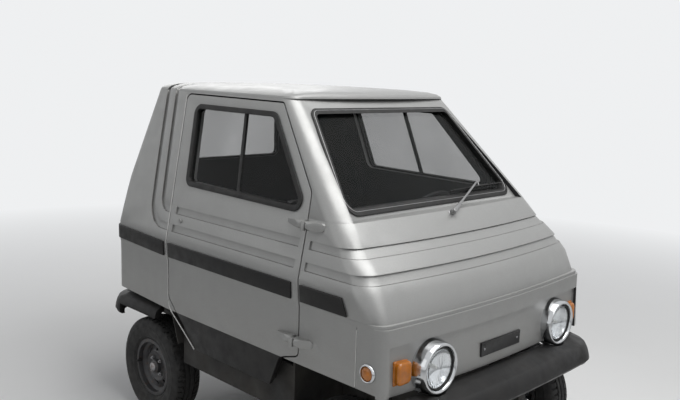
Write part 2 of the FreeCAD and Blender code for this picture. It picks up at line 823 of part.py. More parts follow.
floor = shape_node("floor_pan", stack(floor_pieces))

# Chassis: two rails with cross members, bumper brackets and a tow eye at each end.

RAIL_STEP = 20
BRACKET_LOW = 500
BRACKET_HIGH = 540


lamp_height = size("lamp_height")
nose_face = size("nose_face")
RING_PROUD = 20
RING_DEPTH = 72
LENS_SINK = 12
LENS_RISE = 8
LENS_GAP = 3
LAMP_ROOM = 4


def lamp_back(side):
    return Vector(nose_face + RING_PROUD - RING_DEPTH, side * size("lamp_place"), lamp_height)


def lamp_drum(side, room):
    """Body of one headlamp, widened by some room."""
    return Part.makeCone(size("lamp_root_radius") + room, size("lamp_ring_radius") + room,
                         RING_DEPTH + room, lamp_back(side), Vector(1, 0, 0))


BUMPER_ROWS = (
    # above the bottom, behind the full reach
    (0, 32),
    (6, 12),
    (22, 0),
    (42, 4),
    (64, 11),
    (84, 22),
    (90, 30),
    (101, 62),
    (114, 92),
)
BUMPER_SIDE = 655
BUMPER_BOW = 12


def bumper_rows(reach_cut):
    """Levels of the bumper: a tall face, an edge, and a shelf that slopes back under the nose."""
    rows = []
    for height, back in BUMPER_ROWS:
        inset = back + reach_cut
        reach = size("bumper_reach")
        side = BUMPER_SIDE - back / 2 - reach_cut
        rows.append((size("bumper_bottom") + height, -200, side - 60, -140, side - 1, 0, side,
                     reach - 130 - inset / 2, reach - BUMPER_BOW - inset, side - 150, reach - inset))
    return rows


def bumper_band(reach_cut):
    return Part.makeLoft([plan(row) for row in bumper_rows(reach_cut)], True, True)


BUMPER_HOLLOW_DROP = 14
SHELF_END = 906
SHELF_HALF = 596
bumper_hollow = bumper_band(size("bumper_wall")).translated(Vector(0, 0, -BUMPER_HOLLOW_DROP))
bumper_middle = slab((-SHELF_END, -SHELF_HALF, 0), (SHELF_END, SHELF_HALF, FAR))
bumper_ring = bumper_band(0).cut(bumper_hollow).cut(bumper_middle)
FRONT_BUMPER_END = 868
REAR_BUMPER_END = -561
REAR_RETURN_BOTTOM = 516
REAR_RETURN_START = -880
front_bumper = bumper_ring.common(slab((FRONT_BUMPER_END, -FAR, 0), (FAR, FAR, FAR)))
front_bumper = front_bumper.cut(lamp_drum(1, LAMP_ROOM)).cut(lamp_drum(-1, LAMP_ROOM))
mirrored_ring = bumper_ring.mirror(Vector(), Vector(1, 0, 0))
rear_bumper = mirrored_ring.common(slab((-FAR, -FAR, 0), (REAR_BUMPER_END, FAR, FAR)))
rear_bumper = rear_bumper.cut(slab((REAR_RETURN_START, -FAR, 0), (FAR, FAR, REAR_RETURN_BOTTOM)))
shape_node("front_bumper", front_bumper)
shape_node("rear_bumper", rear_bumper)

rail_place = size("rail_place")
half_rail = size("rail_width") / 2
rail_top = floor_bottom
rail_low = rail_top - size("rail_height")
rail_front = size("rail_front")
rail_rear = size("rail_rear")
frame_pieces = []
for side in (1, -1):
    near, far = rail_place * side - half_rail, rail_place * side + half_rail
    frame_pieces.append(slab((rail_rear, near, rail_low), (rail_front, far, rail_top)))
    frame_pieces.append(slab((rail_front - RAIL_STEP, near, rail_low), (rail_front, far, BRACKET_HIGH)))
    frame_pieces.append(slab((rail_rear, near, rail_low), (rail_rear + RAIL_STEP, far, BRACKET_HIGH)))
    reach = size("bumper_reach")
    for low, high in ((rail_front - RAIL_STEP, reach), (-reach, rail_rear + RAIL_STEP)):
        arm = slab((low, near, BRACKET_LOW), (high, far, BRACKET_HIGH))
        arm = arm.cut(front_bumper).cut(rear_bumper)
        frame_pieces.append(sorted(arm.Solids, key=lambda solid: solid.Volume)[-1])
for place in (rail_front - half_rail - RAIL_STEP, rail_rear + half_rail + RAIL_STEP):
    frame_pieces.append(slab((place - half_rail, -rail_place, rail_low),
                             (place + half_rail, rail_place, rail_top)))
TOW_EYE_REACH = 56
TOW_EYE_HALF = 24
for place, outward in ((rail_front, 1), (rail_rear, -1)):
    tip = place + outward * TOW_EYE_REACH
    tab = slab((min(place - outward, tip), rail_place - TOW_EYE_HALF, rail_low),
               (max(place - outward, tip), rail_place + TOW_EYE_HALF, rail_low + size("tow_eye_plate")))
    eye_spot = Vector(tip - outward * TOW_EYE_HALF, rail_place, rail_low - 1)
    eye_hole = Part.makeCylinder(size("tow_eye_radius"), size("tow_eye_plate") + 2, eye_spot)
    frame_pieces.append(tab.cut(eye_hole))
shape_node("chassis_frame", stack(frame_pieces))

# Running gear. The knuckles turn about upright kingpins; the rear wheels run on a fixed axle.

fuse("front_suspension", [
    block("front_cross_member", ("front_axle_place - 40", "-rail_place", "arm_height - arm_radius"),
          ("front_axle_place + 40", "rail_place", "floor_bottom - rail_height")),
    rod("left_lower_arm", "y", "arm_radius", ("front_axle_place", "rail_place - 20", "arm_height"),
        "kingpin_place - rail_place + 20"),
    rod("right_lower_arm", "y", "arm_radius", ("front_axle_place", "-kingpin_place", "arm_height"),
        "kingpin_place - rail_place + 20"),
    rod("left_lower_joint", "z", "strut_radius",
        ("front_axle_place", "kingpin_place", "arm_height - 18"), "36"),
    rod("right_lower_joint", "z", "strut_radius",
        ("front_axle_place", "-kingpin_place", "arm_height - 18"), "36"),
    rod("left_strut", "z", "strut_radius", ("front_axle_place", "kingpin_place", "tyre_radius + 40"),
        "liner_height - tyre_radius - 40"),
    rod("right_strut", "z", "strut_radius", ("front_axle_place", "-kingpin_place", "tyre_radius + 40"),
        "liner_height - tyre_radius - 40"),
])
for word, sign in (("left", ""), ("right", "-")):
    spindle_start = "kingpin_place" if word == "left" else "-wheel_track/2 - 20"
    fuse(word + "_knuckle", [
        rod(word + "_upright", "z", "kingpin_radius",
            ("front_axle_place", sign + "kingpin_place", "arm_height + 18 + fit_gap"),
            "tyre_radius + 40 - arm_height - 18 - 2*fit_gap"),
        rod(word + "_spindle", "y", "spindle_radius", ("front_axle_place", spindle_start, "tyre_radius"),
            "wheel_track/2 + 20 - kingpin_place"),
        block(word + "_steering_lever",
              ("front_axle_place - 110", sign + "kingpin_place - 8", "tyre_radius - 8"),
              ("front_axle_place", sign + "kingpin_place + 8", "tyre_radius + 8")),
    ])

rear_axle = fuse("rear_axle", [
    rod("axle_tube", "y", "axle_radius",
        ("front_axle_place - wheelbase", "-kingpin_place", "tyre_radius"), "2*kingpin_place"),
    rod("axle_shaft", "y", "spindle_radius",
        ("front_axle_place - wheelbase", "-wheel_track/2 - 20", "tyre_radius"), "wheel_track + 40"),
    rod("axle_gear_case", "y", "axle_radius*2.8",
        ("front_axle_place - wheelbase", "-75", "tyre_radius"), "150"),
    rod("left_spring", "z", "spring_radius",
        ("front_axle_place - wheelbase", "spring_place", "tyre_radius"), "liner_height - tyre_radius"),
    rod("right_spring", "z", "spring_radius",
        ("front_axle_place - wheelbase", "-spring_place", "tyre_radius"), "liner_height - tyre_radius"),
])
motor = block("motor_block",
              ("front_axle_place - wheelbase + 30", "-motor_width/2", "tyre_radius - 60"),
              ("front_axle_place - wheelbase + 30 + motor_length", "motor_width/2",
               "tyre_radius - 60 + motor_height"))
keep(cut("motor_cut", motor, rear_axle), "motor")
keep(block("battery_block",
           ("floor_rear + floor_plate + 20", "-battery_width/2", "floor_bottom + floor_plate"),
           ("floor_rear + floor_plate + 20 + battery_length", "battery_width/2",
            "floor_bottom + floor_plate + battery_height")), "batteries")


# Wheels: section sketches in one half plane, revolved about the axle. A measure is a sum of terms,
# each the name of a size, or None for a plain number, and its factor.

def total(terms):
    return sum((size(name) if name else 1) * factor for name, factor in terms)


def written(terms):
    parts = [("Sizes.%s * (%g)" % (name, factor)) if name else "(%g)" % factor for name, factor in terms]
    return " + ".join(parts)


def body_plane(body, role):
    return [entry for entry in body.Origin.OriginFeatures if entry.Role == role][0]


def section_sketch(body, name, corners):
    """Closed sketch whose corners lie at a distance from the axle and from the wheel's inner face."""
    sketch = body.newObject("Sketcher::SketchObject", name)
    sketch.AttachmentSupport = [(body_plane(body, "XY_Plane"), "")]
    sketch.MapMode = "FlatFace"
    places = [Vector(total(reach), total(across_wheel), 0) for reach, across_wheel in corners]
    count = len(places)
    for index in range(count):
        sketch.addGeometry(Part.LineSegment(places[index], places[(index + 1) % count]), False)
    for index in range(count):
        sketch.addConstraint(Sketcher.Constraint("Coincident", index, 2, (index + 1) % count, 1))
    for index, (reach, across_wheel) in enumerate(corners):
        for kind, terms in (("DistanceX", reach), ("DistanceY", across_wheel)):
            number = sketch.addConstraint(Sketcher.Constraint(kind, -1, 1, index, 1, total(terms)))
            sketch.setExpression("Constraints[%d]" % number, written(terms))
    return sketch


def revolved(name, corners):
    body = doc.addObject("PartDesign::Body", name)
    sketch = section_sketch(body, name + "_section", corners)
    turn = body.newObject("PartDesign::Revolution", name + "_turn")
    turn.Profile = sketch
    turn.ReferenceAxis = (sketch, ["V_Axis"])
    turn.Angle = 360
    return body


MIDDLE = (("tyre_width", 0.5),)


def reach(name, plus=0):
    return ((name, 1), (None, plus))


def rim_side(times, sheets=0, plus=0):
    return MIDDLE + (("rim_width", times), ("rim_sheet", sheets), (None, plus))


def tyre_side(times):
    return (("tyre_width", times),)


TYRE_SECTION = (
    (reach("bead_radius"), rim_side(-0.5, 1)),
    (reach("bead_radius"), rim_side(0.5, -1)),
    (reach("flange_radius", 2), rim_side(0.5, -1)),
    (reach("flange_radius", 6), tyre_side(0.9)),
    (reach("tyre_radius", -72), tyre_side(0.985)),
    (reach("tyre_radius", -50), tyre_side(1)),
    (reach("tyre_radius", -22), tyre_side(0.975)),
    (reach("tyre_radius", -6), tyre_side(0.9)),
    (reach("tyre_radius"), tyre_side(0.8)),
    (reach("tyre_radius"), tyre_side(0.2)),
    (reach("tyre_radius", -6), tyre_side(0.1)),
    (reach("tyre_radius", -22), tyre_side(0.025)),
    (reach("tyre_radius", -50), tyre_side(0)),
    (reach("tyre_radius", -72), tyre_side(0.015)),
    (reach("flange_radius", 6), tyre_side(0.1)),
    (reach("flange_radius", 2), rim_side(-0.5, 1)),
)
WELL = 22
DISC_FACE = 20
RIM_SECTION = (
    (reach("flange_radius"), rim_side(-0.5)),
    (reach("flange_radius"), rim_side(-0.5, 1)),
    (reach("bead_radius"), rim_side(-0.5, 1)),
    (reach("bead_radius"), rim_side(-0.5, 1, WELL)),
    (reach("drop_radius"), rim_side(-0.5, 1, WELL + 6)),
    (reach("drop_radius"), rim_side(0.5, -1, -WELL - 6)),
    (reach("bead_radius"), rim_side(0.5, -1, -WELL)),
    (reach("bead_radius"), rim_side(0.5, -1)),
    (reach("flange_radius"), rim_side(0.5, -1)),
    (reach("flange_radius"), rim_side(0.5)),
    (reach("bead_radius", -4), rim_side(0.5)),
    (reach("bead_radius", -4), rim_side(0.5, -1, -WELL + 2)),
    (reach("drop_radius", -4), rim_side(0.5, -1, -WELL - 5)),
    (reach("drop_radius", -10), rim_side(0.5, 0, -DISC_FACE - 22)),
    (reach("hub_radius", 30), rim_side(0.5, 0, -DISC_FACE - 4)),
    (reach("hub_radius", 14), rim_side(0.5, 0, -DISC_FACE - 12)),
    (reach("hub_radius", -8), rim_side(0.5, 0, -DISC_FACE - 12)),
    (reach("hub_radius", -10), rim_side(0.5, 0, -DISC_FACE + 6)),
    (reach("spindle_radius", 8), rim_side(0.5, 0, -DISC_FACE + 12)),
    (reach("spindle_radius") + (("fit_gap", 1),), rim_side(0.5, 0, -DISC_FACE + 12)),
    (reach("spindle_radius") + (("fit_gap", 1),), rim_side(-0.5, 0, 38)),
    (reach("hub_radius"), rim_side(-0.5, 0, 38)),
    (reach("hub_radius"), rim_side(0.5, 0, -DISC_FACE - 18)),
    (reach("hub_radius", 16), rim_side(0.5, 0, -DISC_FACE - 18)),
    (reach("hub_radius", 32), rim_side(0.5, 0, -DISC_FACE - 10)),
    (reach("drop_radius", -16), rim_side(0.5, 0, -DISC_FACE - 28)),
    (reach("drop_radius", -4), rim_side(0.5, 0, -DISC_FACE - 36)),
    (reach("drop_radius", -4), rim_side(-0.5, 1, WELL + 5)),
    (reach("bead_radius", -4), rim_side(-0.5, 1, WELL - 2)),
    (reach("bead_radius", -4), rim_side(-0.5)),
)
HAND_HOLES = 8
HAND_HOLE_RADIUS = 10


def hand_holes(body, name):
    """Ring of round holes through the wheel's disc."""
    sketch = body.newObject("Sketcher::SketchObject", name + "_hole")
    sketch.AttachmentSupport = [(body_plane(body, "XZ_Plane"), "")]
    sketch.MapMode = "FlatFace"
    middle = (size("hub_radius") + size("drop_radius")) / 2 + 10
    sketch.addGeometry(Part.Circle(Vector(middle, 0, 0), Vector(0, 0, 1), HAND_HOLE_RADIUS), False)
    sketch.addConstraint(Sketcher.Constraint("Radius", 0, HAND_HOLE_RADIUS))
    sketch.addConstraint(Sketcher.Constraint("PointOnObject", 0, 3, -1))
    number = sketch.addConstraint(Sketcher.Constraint("DistanceX", -1, 1, 0, 3, middle))
    sketch.setExpression("Constraints[%d]" % number, "(Sizes.hub_radius + Sizes.drop_radius) / 2 + 10")
    pocket = body.newObject("PartDesign::Pocket", name + "_pocket")
    pocket.Profile = sketch
    pocket.Type = "ThroughAll"
    pocket.Midplane = True
    doc.recompute()
    ring = body.newObject("PartDesign::PolarPattern", name + "_ring")
    ring.Originals = [pocket]
    ring.Axis = (body_plane(body, "Y_Axis"), [""])
    ring.Angle = 360
    ring.Occurrences = HAND_HOLES
    body.Tip = ring


WHEELS = (
    # where, how far behind the front axle in wheelbases, side
    ("front_left", 0, 1),
    ("front_right", 0, -1),
    ("rear_left", 1, 1),
    ("rear_right", 1, -1),
)
for where, behind, side in WHEELS:
    for kind, corners in (("tyre", TYRE_SECTION), ("rim", RIM_SECTION)):
        wheel_part = revolved(where + "_" + kind, corners)
        if kind == "rim":
            hand_holes(wheel_part, where + "_rim")
        if side < 0:
            wheel_part.Placement = FreeCAD.Placement(Vector(), FreeCAD.Rotation(Vector(0, 0, 1), 180))
        bind(wheel_part, "Placement.Base.x", "front_axle_place - wheelbase*%d" % behind)
        bind(wheel_part, "Placement.Base.y", "(wheel_track/2 - tyre_width/2)*(%d)" % side)
        bind(wheel_part, "Placement.Base.z", "tyre_radius")
        keep(wheel_part, where + "_" + kind)

# Cabin fittings.

CUSHION_FRONT = 120
for word, side in (("left", "1"), ("right", "-1")):
    cushion = block(word + "_cushion",
                    ("%d - seat_length" % CUSHION_FRONT, "seat_place*(%s) - seat_width/2" % side,
                     "floor_bottom + floor_plate + battery_height"),
                    ("%d" % CUSHION_FRONT, "seat_place*(%s) + seat_width/2" % side,
                     "floor_bottom + floor_plate + battery_height + seat_depth"))
    back = doc.addObject("Part::Box", word + "_back")
    bind(back, "Length", "seat_back_depth")
    bind(back, "Width", "seat_width")
    bind(back, "Height", "seat_back_height")
    back.Placement = FreeCAD.Placement(Vector(), FreeCAD.Rotation(Vector(0, -1, 0), 1))
    bind(back, "Placement.Rotation.Angle", "seat_rake")
    bind(back, "Placement.Base.x", "%d - seat_length" % CUSHION_FRONT)
    bind(back, "Placement.Base.y", "seat_place*(%s) - seat_width/2" % side)
    bind(back, "Placement.Base.z", "floor_bottom + floor_plate + battery_height + seat_depth/2")
    fuse(word + "_seat", [cushion, back])

dash_rear = size("dash_rear")
dash = inside_block((dash_rear, -size("dash_half"), size("dash_bottom")),
                    (footwell_front, size("dash_half"), size("dash_top")))
dash = dash.cut(floor.Shape)
shape_node("dashboard", dash)

STEERING_PLACE = 255
STEERING_BACK = 190
COLUMN_SINK = 40
HUB_DEPTH = 34
SPOKE_RADIUS = 7
SPOKE_DROP = 4
SPOKE_ANGLES = (0, 180, 270)
rake = math.radians(size("column_rake"))
column_line = Vector(-math.cos(rake), 0, math.sin(rake))
column_foot = Vector(dash_rear, STEERING_PLACE, size("dash_bottom") + 55)
wheel_centre = column_foot + column_line * STEERING_BACK
column_start = column_foot - column_line * COLUMN_SINK
column_length = STEERING_BACK + COLUMN_SINK - HUB_DEPTH
column = Part.makeCylinder(size("column_radius"), column_length, column_start, column_line)
shape_node("steering_column", column.cut(dash))
rim_radius = size("steering_wheel_radius")
grip = size("steering_rim_radius")
steering = Part.makeTorus(rim_radius, grip, wheel_centre, column_line)
hub_start = wheel_centre - column_line * (HUB_DEPTH - size("fit_gap"))
hub = Part.makeCylinder(size("column_radius") + 6, HUB_DEPTH, hub_start, column_line)
steering = steering.fuse(hub)
for angle in SPOKE_ANGLES:
    turn = FreeCAD.Rotation(column_line, angle)
    spoke_line = turn.multVec(Vector(0, 1, 0))
    spoke_start = wheel_centre - column_line * SPOKE_DROP
    spoke = Part.makeCylinder(SPOKE_RADIUS, rim_radius, spoke_start, spoke_line)
    steering = steering.fuse(spoke)
shape_node("steering_wheel", steering.removeSplitter())

# Lamps, plates and wiper.

lamps = []
for side in (1, -1):
    back = lamp_back(side)
    drum = lamp_drum(side, 0)
    lens_radius = size("lens_radius")
    bowl_start = back + Vector(RING_DEPTH - LENS_SINK, 0, 0)
    bowl = Part.makeCylinder(lens_radius + LENS_GAP, LENS_SINK, bowl_start, Vector(1, 0, 0))
    ball_radius = (lens_radius ** 2 + LENS_RISE ** 2) / (2 * LENS_RISE)
    lens_face = back.x + RING_DEPTH - LENS_SINK
    dome = Part.makeSphere(ball_radius, Vector(lens_face + LENS_RISE - ball_radius, back.y, back.z))
    dome = dome.common(slab((lens_face - 1, -FAR, 0), (FAR, FAR, FAR)))
    lamps += drum.cut(bowl).fuse(dome).cut(nose).cut(inner).removeSplitter().Solids
shape_node("headlamps", Part.makeCompound(lamps))



def lens_corners(place, height, half_width, half_height, rounding):
    """Corners of an upright lens about its middle."""
    spots = ((-1, -1), (1, -1), (1, 1), (-1, 1))
    return tuple((place + across * half_width, height + up * half_height, rounding) for across, up in spots)


INDICATOR = (563, 39, 44, 14)
INDICATOR_HEIGHT = 670
INDICATOR_FACE = 908
REPEATER = (823, 672, 35, 12)
REPEATER_DEPTH = 60
indicators = []
for side in (1, -1):
    place, half_width, half_height, rounding = INDICATOR
    corners = lens_corners(side * place, INDICATOR_HEIGHT, half_width, half_height, rounding)
    lens = ahead(front_face(corners)).common(slab((0, -FAR, 0), (INDICATOR_FACE, FAR, FAR)))
    indicators += lens.cut(nose).cut(inner).Solids
    along, height, radius, proud = REPEATER
    root = Vector(along, side * (side_at(height) - REPEATER_DEPTH), height)
    drum = Part.makeCylinder(radius, proud + REPEATER_DEPTH, root, Vector(0, side, 0))
    indicators += drum.cut(nose).cut(inner).Solids
shape_node("indicators", Part.makeCompound(indicators))

TAIL_LAMP = (505, 36, 72, 8)
TAIL_LAMP_HEIGHT = 722
TAIL_LAMP_PROUD = 22
tail_lamps = []
for side in (1, -1):
    place, half_width, half_height, rounding = TAIL_LAMP
    corners = lens_corners(side * place, TAIL_LAMP_HEIGHT, half_width, half_height, rounding)
    lens = astern(front_face(corners))
    lens = lens.common(slab((size("rear_face") - TAIL_LAMP_PROUD, -FAR, 0), (0, FAR, FAR)))
    tail_lamps += lens.cut(tail).cut(inner).Solids
shape_node("tail_lamps", Part.makeCompound(tail_lamps))

half_plate = size("plate_length") / 2
plate_low = size("plate_place_height") - size("plate_height") / 2
plate_high = plate_low + size("plate_height")
PLATE_SHEET = 3
front_plate = slab((nose_face - 40, -half_plate, plate_low), (nose_face - 8, half_plate, plate_high))
front_plate = front_plate.cut(nose).cut(inner)
rear_plate = slab((size("rear_face") - PLATE_SHEET, -half_plate, plate_low),
                  (size("rear_face"), half_plate, plate_high))
shape_node("number_plates", Part.makeCompound(front_plate.Solids + [rear_plate]))


def bar(start, end, radius):
    line = end - start
    return Part.makeCylinder(radius, line.Length, start, line)


def on_screen(y, z, proud):
    """Point over the windscreen at a height, proud of the floor of its pocket."""
    share = (z - foot.z) / (head.z - foot.z)
    return Vector(foot.x + share * (head.x - foot.x), y, z) + screen_normal * proud


WIPER_FOOT = Vector(648, -11, 1138)
wiper_pivot = WIPER_FOOT + screen_normal * 26
wiper_elbow = on_screen(318, 1224, 18)
wiper = bar(WIPER_FOOT, wiper_pivot, 8).fuse(bar(wiper_pivot, wiper_elbow, 4))
wiper = wiper.fuse(bar(on_screen(108, 1202, 9), on_screen(492, 1208, 9), 4))
wiper = wiper.fuse(bar(wiper_elbow, on_screen(314, 1205, 9), 4))
wiper = wiper.cut(bonnet).cut(cabin).cut(screen_rubber)
shape_node("wiper", wiper.removeSplitter())

# Check every object, then write one file for each node.

doc.recompute()
for thing in doc.Objects:
    if "Invalid" in thing.State or "Error" in thing.State:
        raise RuntimeError("object failed: " + thing.Label)
for thing in nodes:
    if thing.Shape.isNull() or not thing.Shape.isValid():
        raise RuntimeError("bad shape: " + thing.Label)
os.makedirs("parts", exist_ok=True)
for thing in nodes:
    thing.Shape.exportStep(os.path.join("parts", thing.Label + ".step"))
    print("%-24s solids %d  volume %.0f" % (thing.Label, len(thing.Shape.Solids), thing.Shape.Volume))
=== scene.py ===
import json
import math
from contextlib import contextmanager

import bmesh
import bpy
from mathutils import Matrix, Vector


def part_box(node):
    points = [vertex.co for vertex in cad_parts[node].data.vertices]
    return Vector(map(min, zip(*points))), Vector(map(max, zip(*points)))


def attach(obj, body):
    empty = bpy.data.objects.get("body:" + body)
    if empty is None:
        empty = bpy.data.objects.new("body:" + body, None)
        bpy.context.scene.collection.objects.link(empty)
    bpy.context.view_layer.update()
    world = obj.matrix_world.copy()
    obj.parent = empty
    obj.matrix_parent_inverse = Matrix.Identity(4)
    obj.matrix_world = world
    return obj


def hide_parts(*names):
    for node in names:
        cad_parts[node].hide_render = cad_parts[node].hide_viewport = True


bl_info = {
    "name": "Electric microcar",
    "version": (1, 0, 0),
    "blender": (4, 5, 0),
    "location": "View3D > Sidebar > Microcar",
    "description": "Builds the looks of a two-seat electric microcar round its packed solids",
    "category": "Object",
}

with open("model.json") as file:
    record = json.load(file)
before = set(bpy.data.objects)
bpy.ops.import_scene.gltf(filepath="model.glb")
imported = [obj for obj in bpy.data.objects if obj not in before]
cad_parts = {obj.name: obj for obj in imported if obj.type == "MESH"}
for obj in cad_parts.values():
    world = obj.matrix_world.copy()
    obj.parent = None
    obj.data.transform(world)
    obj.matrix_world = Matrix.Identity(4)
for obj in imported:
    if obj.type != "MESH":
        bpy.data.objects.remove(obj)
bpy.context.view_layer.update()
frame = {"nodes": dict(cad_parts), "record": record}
NODES = frame["nodes"]
SLOTS = {row["node"]: row["material_slot"] for row in frame["record"]["subparts"]}
SIDES = (("left", 1), ("right", -1))
FRONT_AXLE, REAR_AXLE = 655, -645
WHEELS = (("front_left", FRONT_AXLE, 1), ("front_right", FRONT_AXLE, -1),
          ("rear_left", REAR_AXLE, 1), ("rear_right", REAR_AXLE, -1))
AXLE_HEIGHT = 245
WHEEL_MIDDLE = 560.5
MERGE_DISTANCE, PANEL_MERGE_DISTANCE = 1e-6, 2e-5


def at(x, y, z):
    """A place in the frame from millimetres."""
    return Vector((x, y, z)) / 1000


# Selecting, editing and finishing pieces.


def unselect():
    """Leaves nothing selected."""
    bpy.ops.object.select_all(action="DESELECT")


def take(piece):
    """Makes one object the only selected one."""
    unselect()
    piece.select_set(True)
    bpy.context.view_layer.objects.active = piece
    return piece


@contextmanager
def editing(piece):
    """Edit mode on one piece, with everything selected at first."""
    take(piece)
    bpy.ops.object.mode_set(mode="EDIT")
    bpy.ops.mesh.select_mode(type="VERT")
    bpy.ops.mesh.select_all(action="SELECT")
    try:
        yield bmesh.from_edit_mesh(piece.data)
    finally:
        bpy.ops.object.mode_set(mode="OBJECT")


def select_where(mesh, kind, test):
    """Selects the faces, edges or vertices that pass a test."""
    bpy.ops.mesh.select_mode(type={"faces": "FACE", "edges": "EDGE", "verts": "VERT"}[kind])
    bpy.ops.mesh.select_all(action="DESELECT")
    for item in getattr(mesh, kind):
        if test(item):
            item.select_set(True)
    mesh.select_flush_mode()


def middle_of(item):
    """Middle of an edge or a face."""
    spots = [corner.co for corner in item.verts]
    return sum(spots, Vector()) / len(spots)


def finish_with(piece, kind, **settings):
    """Adds one modifier with its settings and applies it."""
    take(piece)
    modifier = piece.modifiers.new(kind.lower(), kind)
    for name, value in settings.items():
        setattr(modifier, name, value)
    bpy.ops.object.modifier_apply(modifier=modifier.name)
    return piece


def round_edges(piece, radius_mm, segments, angle=30):
    """Rounds every edge sharper than an angle in degrees."""
    return finish_with(piece, "BEVEL", width=radius_mm / 1000, segments=segments,
                       limit_method="ANGLE", angle_limit=math.radians(angle))


def smooth(piece, angle):
    """Shades a piece smooth, save over edges sharper than an angle in degrees."""
    take(piece)
    bpy.ops.object.shade_smooth_by_angle(angle=math.radians(angle))
    return piece


def face_outwards(piece):
    """Merges doubles and turns every face outwards."""
    with editing(piece):
        bpy.ops.mesh.remove_doubles(threshold=MERGE_DISTANCE)
        bpy.ops.mesh.normals_make_consistent(inside=False)
    return piece


def join(name, pieces):
    """One piece out of several."""
    unselect()
    for piece in pieces:
        piece.select_set(True)
    bpy.context.view_layer.objects.active = pieces[0]
    if len(pieces) > 1:
        bpy.ops.object.join()
    pieces[0].name = name
    pieces[0].data.name = name
    return pieces[0]


def copy_of(piece, name, turn=None):
    """A copy with its own mesh, moved by a matrix."""
    mesh = piece.data.copy()
    twin = bpy.data.objects.new(name, mesh)
    bpy.context.scene.collection.objects.link(twin)
    if turn is not None:
        mesh.transform(turn)
        if turn.determinant() < 0:
            mesh.flip_normals()
    return twin


MIRROR = Matrix.Diagonal((1, -1, 1, 1))


def other_side(piece, name):
    """A mirrored copy for the other side of the car."""
    return copy_of(piece, name, MIRROR)


def fit(piece, name, material, body, nodes=()):
    """Names a finished piece, gives it its material and body, and hides the solids that it stands for."""
    piece.name = name
    piece.data.name = name
    piece.data.materials.clear()
    piece.data.materials.append(finish_named(material))
    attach(piece, body)
    if nodes:
        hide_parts(*nodes)
    return piece


def assemble(parts, name, material, body, nodes=()):
    """Joins parts into one smooth piece and fits it."""
    return fit(smooth(join(name, parts), 40), name, material, body, nodes)


def fit_pair(piece, word, material, nodes=()):
    """Fits a piece of the body on its left and a mirrored twin on its right."""
    twin = other_side(piece, "twin")
    fit(piece, "left_" + word, material, "body", nodes)
    fit(twin, "right_" + word, material, "body")


# Starting shapes.


def line_through(name, points):
    """A run of edges through points, drawn by extruding one vertex."""
    unselect()
    bpy.ops.mesh.primitive_plane_add(size=0.001, location=(0, 0, 0))
    piece = bpy.context.object
    piece.name = name
    with editing(piece):
        bpy.ops.mesh.merge(type="CENTER")
        bpy.ops.transform.translate(value=points[0])
        for last, point in zip(points, points[1:]):
            bpy.ops.mesh.extrude_region_move(TRANSFORM_OT_translate={"value": point - last})
    return piece


def spun(name, profile, centre, axis, steps):
    """A round piece: a profile of (radius, place along the axis) in millimetres, spun about an axis."""
    centre = Vector(centre)
    along = {"X": Vector((1, 0, 0)), "Y": Vector((0, 1, 0)), "Z": Vector((0, 0, 1))}[axis]
    out = Vector((0, 0, 1)) if axis != "Z" else Vector((1, 0, 0))
    points = [centre + (along * place + out * radius) / 1000 for radius, place in profile]
    piece = line_through(name, points)
    with editing(piece):
        bpy.ops.mesh.spin(steps=steps, angle=math.tau, center=centre, axis=along)
    return face_outwards(piece)


def block(name, low, high, radius=0, segments=3):
    """A box between two corners in millimetres, with its edges rounded."""
    low, high = at(*low), at(*high)
    unselect()
    bpy.ops.mesh.primitive_cube_add(size=1, location=(low + high) / 2, scale=high - low)
    piece = bpy.context.object
    piece.name = name
    bpy.ops.object.transform_apply(location=True, rotation=True, scale=True)
    if radius:
        with editing(piece):
            bpy.ops.mesh.bevel(offset=radius / 1000, segments=segments, affect="EDGES")
    return piece


def drum(name, start, end, radius, sides, bevel):
    """A round bar between two places in the frame, with rounded rims."""
    start, end = Vector(start), Vector(end)
    line = end - start
    unselect()
    bpy.ops.mesh.primitive_cylinder_add(
        vertices=sides, radius=radius / 1000, depth=line.length, location=(start + end) / 2,
        rotation=line.to_track_quat("Z", "Y").to_euler())
    piece = bpy.context.object
    piece.name = name
    bpy.ops.object.transform_apply(location=True, rotation=True, scale=True)
    return round_edges(piece, bevel, 2)


def tube(name, points, radius, sides, closed=False):
    """A round bar along a line through points in the frame, open or closed on itself."""
    curve = bpy.data.curves.new(name, "CURVE")
    curve.dimensions = "3D"
    curve.bevel_depth = radius / 1000
    curve.bevel_resolution = max(1, sides // 4)
    curve.use_fill_caps = not closed
    line = curve.splines.new("POLY")
    line.points.add(len(points) - 1)
    for spot, point in zip(line.points, points):
        spot.co = (*point, 1)
    line.use_cyclic_u = closed
    piece = bpy.data.objects.new(name, curve)
    bpy.context.scene.collection.objects.link(piece)
    take(piece)
    bpy.ops.object.convert(target="MESH")
    return bpy.context.object


# Where the cabin's side, back, screen and roof walls begin, and how straight a face looks one way.
CABIN_SIDE, CABIN_BACK, CABIN_SCREEN, CABIN_HEAD = 0.42, -0.7, 0.15, 1.4
STRAIGHT, SLANTED = 0.8, 0.4


def looks_inwards(spot, normal):
    """Whether a face of a body panel is on the cabin's side of its wall."""
    side = abs(spot.y) > CABIN_SIDE and normal.y * spot.y < 0 and abs(normal.y) > STRAIGHT
    back = spot.x < CABIN_BACK and normal.x > STRAIGHT
    screen = spot.x > CABIN_SCREEN and normal.x < -SLANTED and normal.z < -SLANTED
    head = spot.z > CABIN_HEAD and normal.z < -STRAIGHT
    return side or back or screen or head


# Height of the waist, start of the nose, stretch and foot of the pillars' channels, heights of the ledges
# that are the bonnet channels' feet, and how near to them a face still counts, for the painted shade.
WAIST, NOSE_START = 0.80, 0.85
PILLAR_BACK, PILLAR_FRONT, PILLAR_FOOT, PILLAR_SIDE = -0.80, -0.44, 0.72, 0.45
CHANNEL_FEET, FOOT_REACH = (0.965, 1.043), 0.003


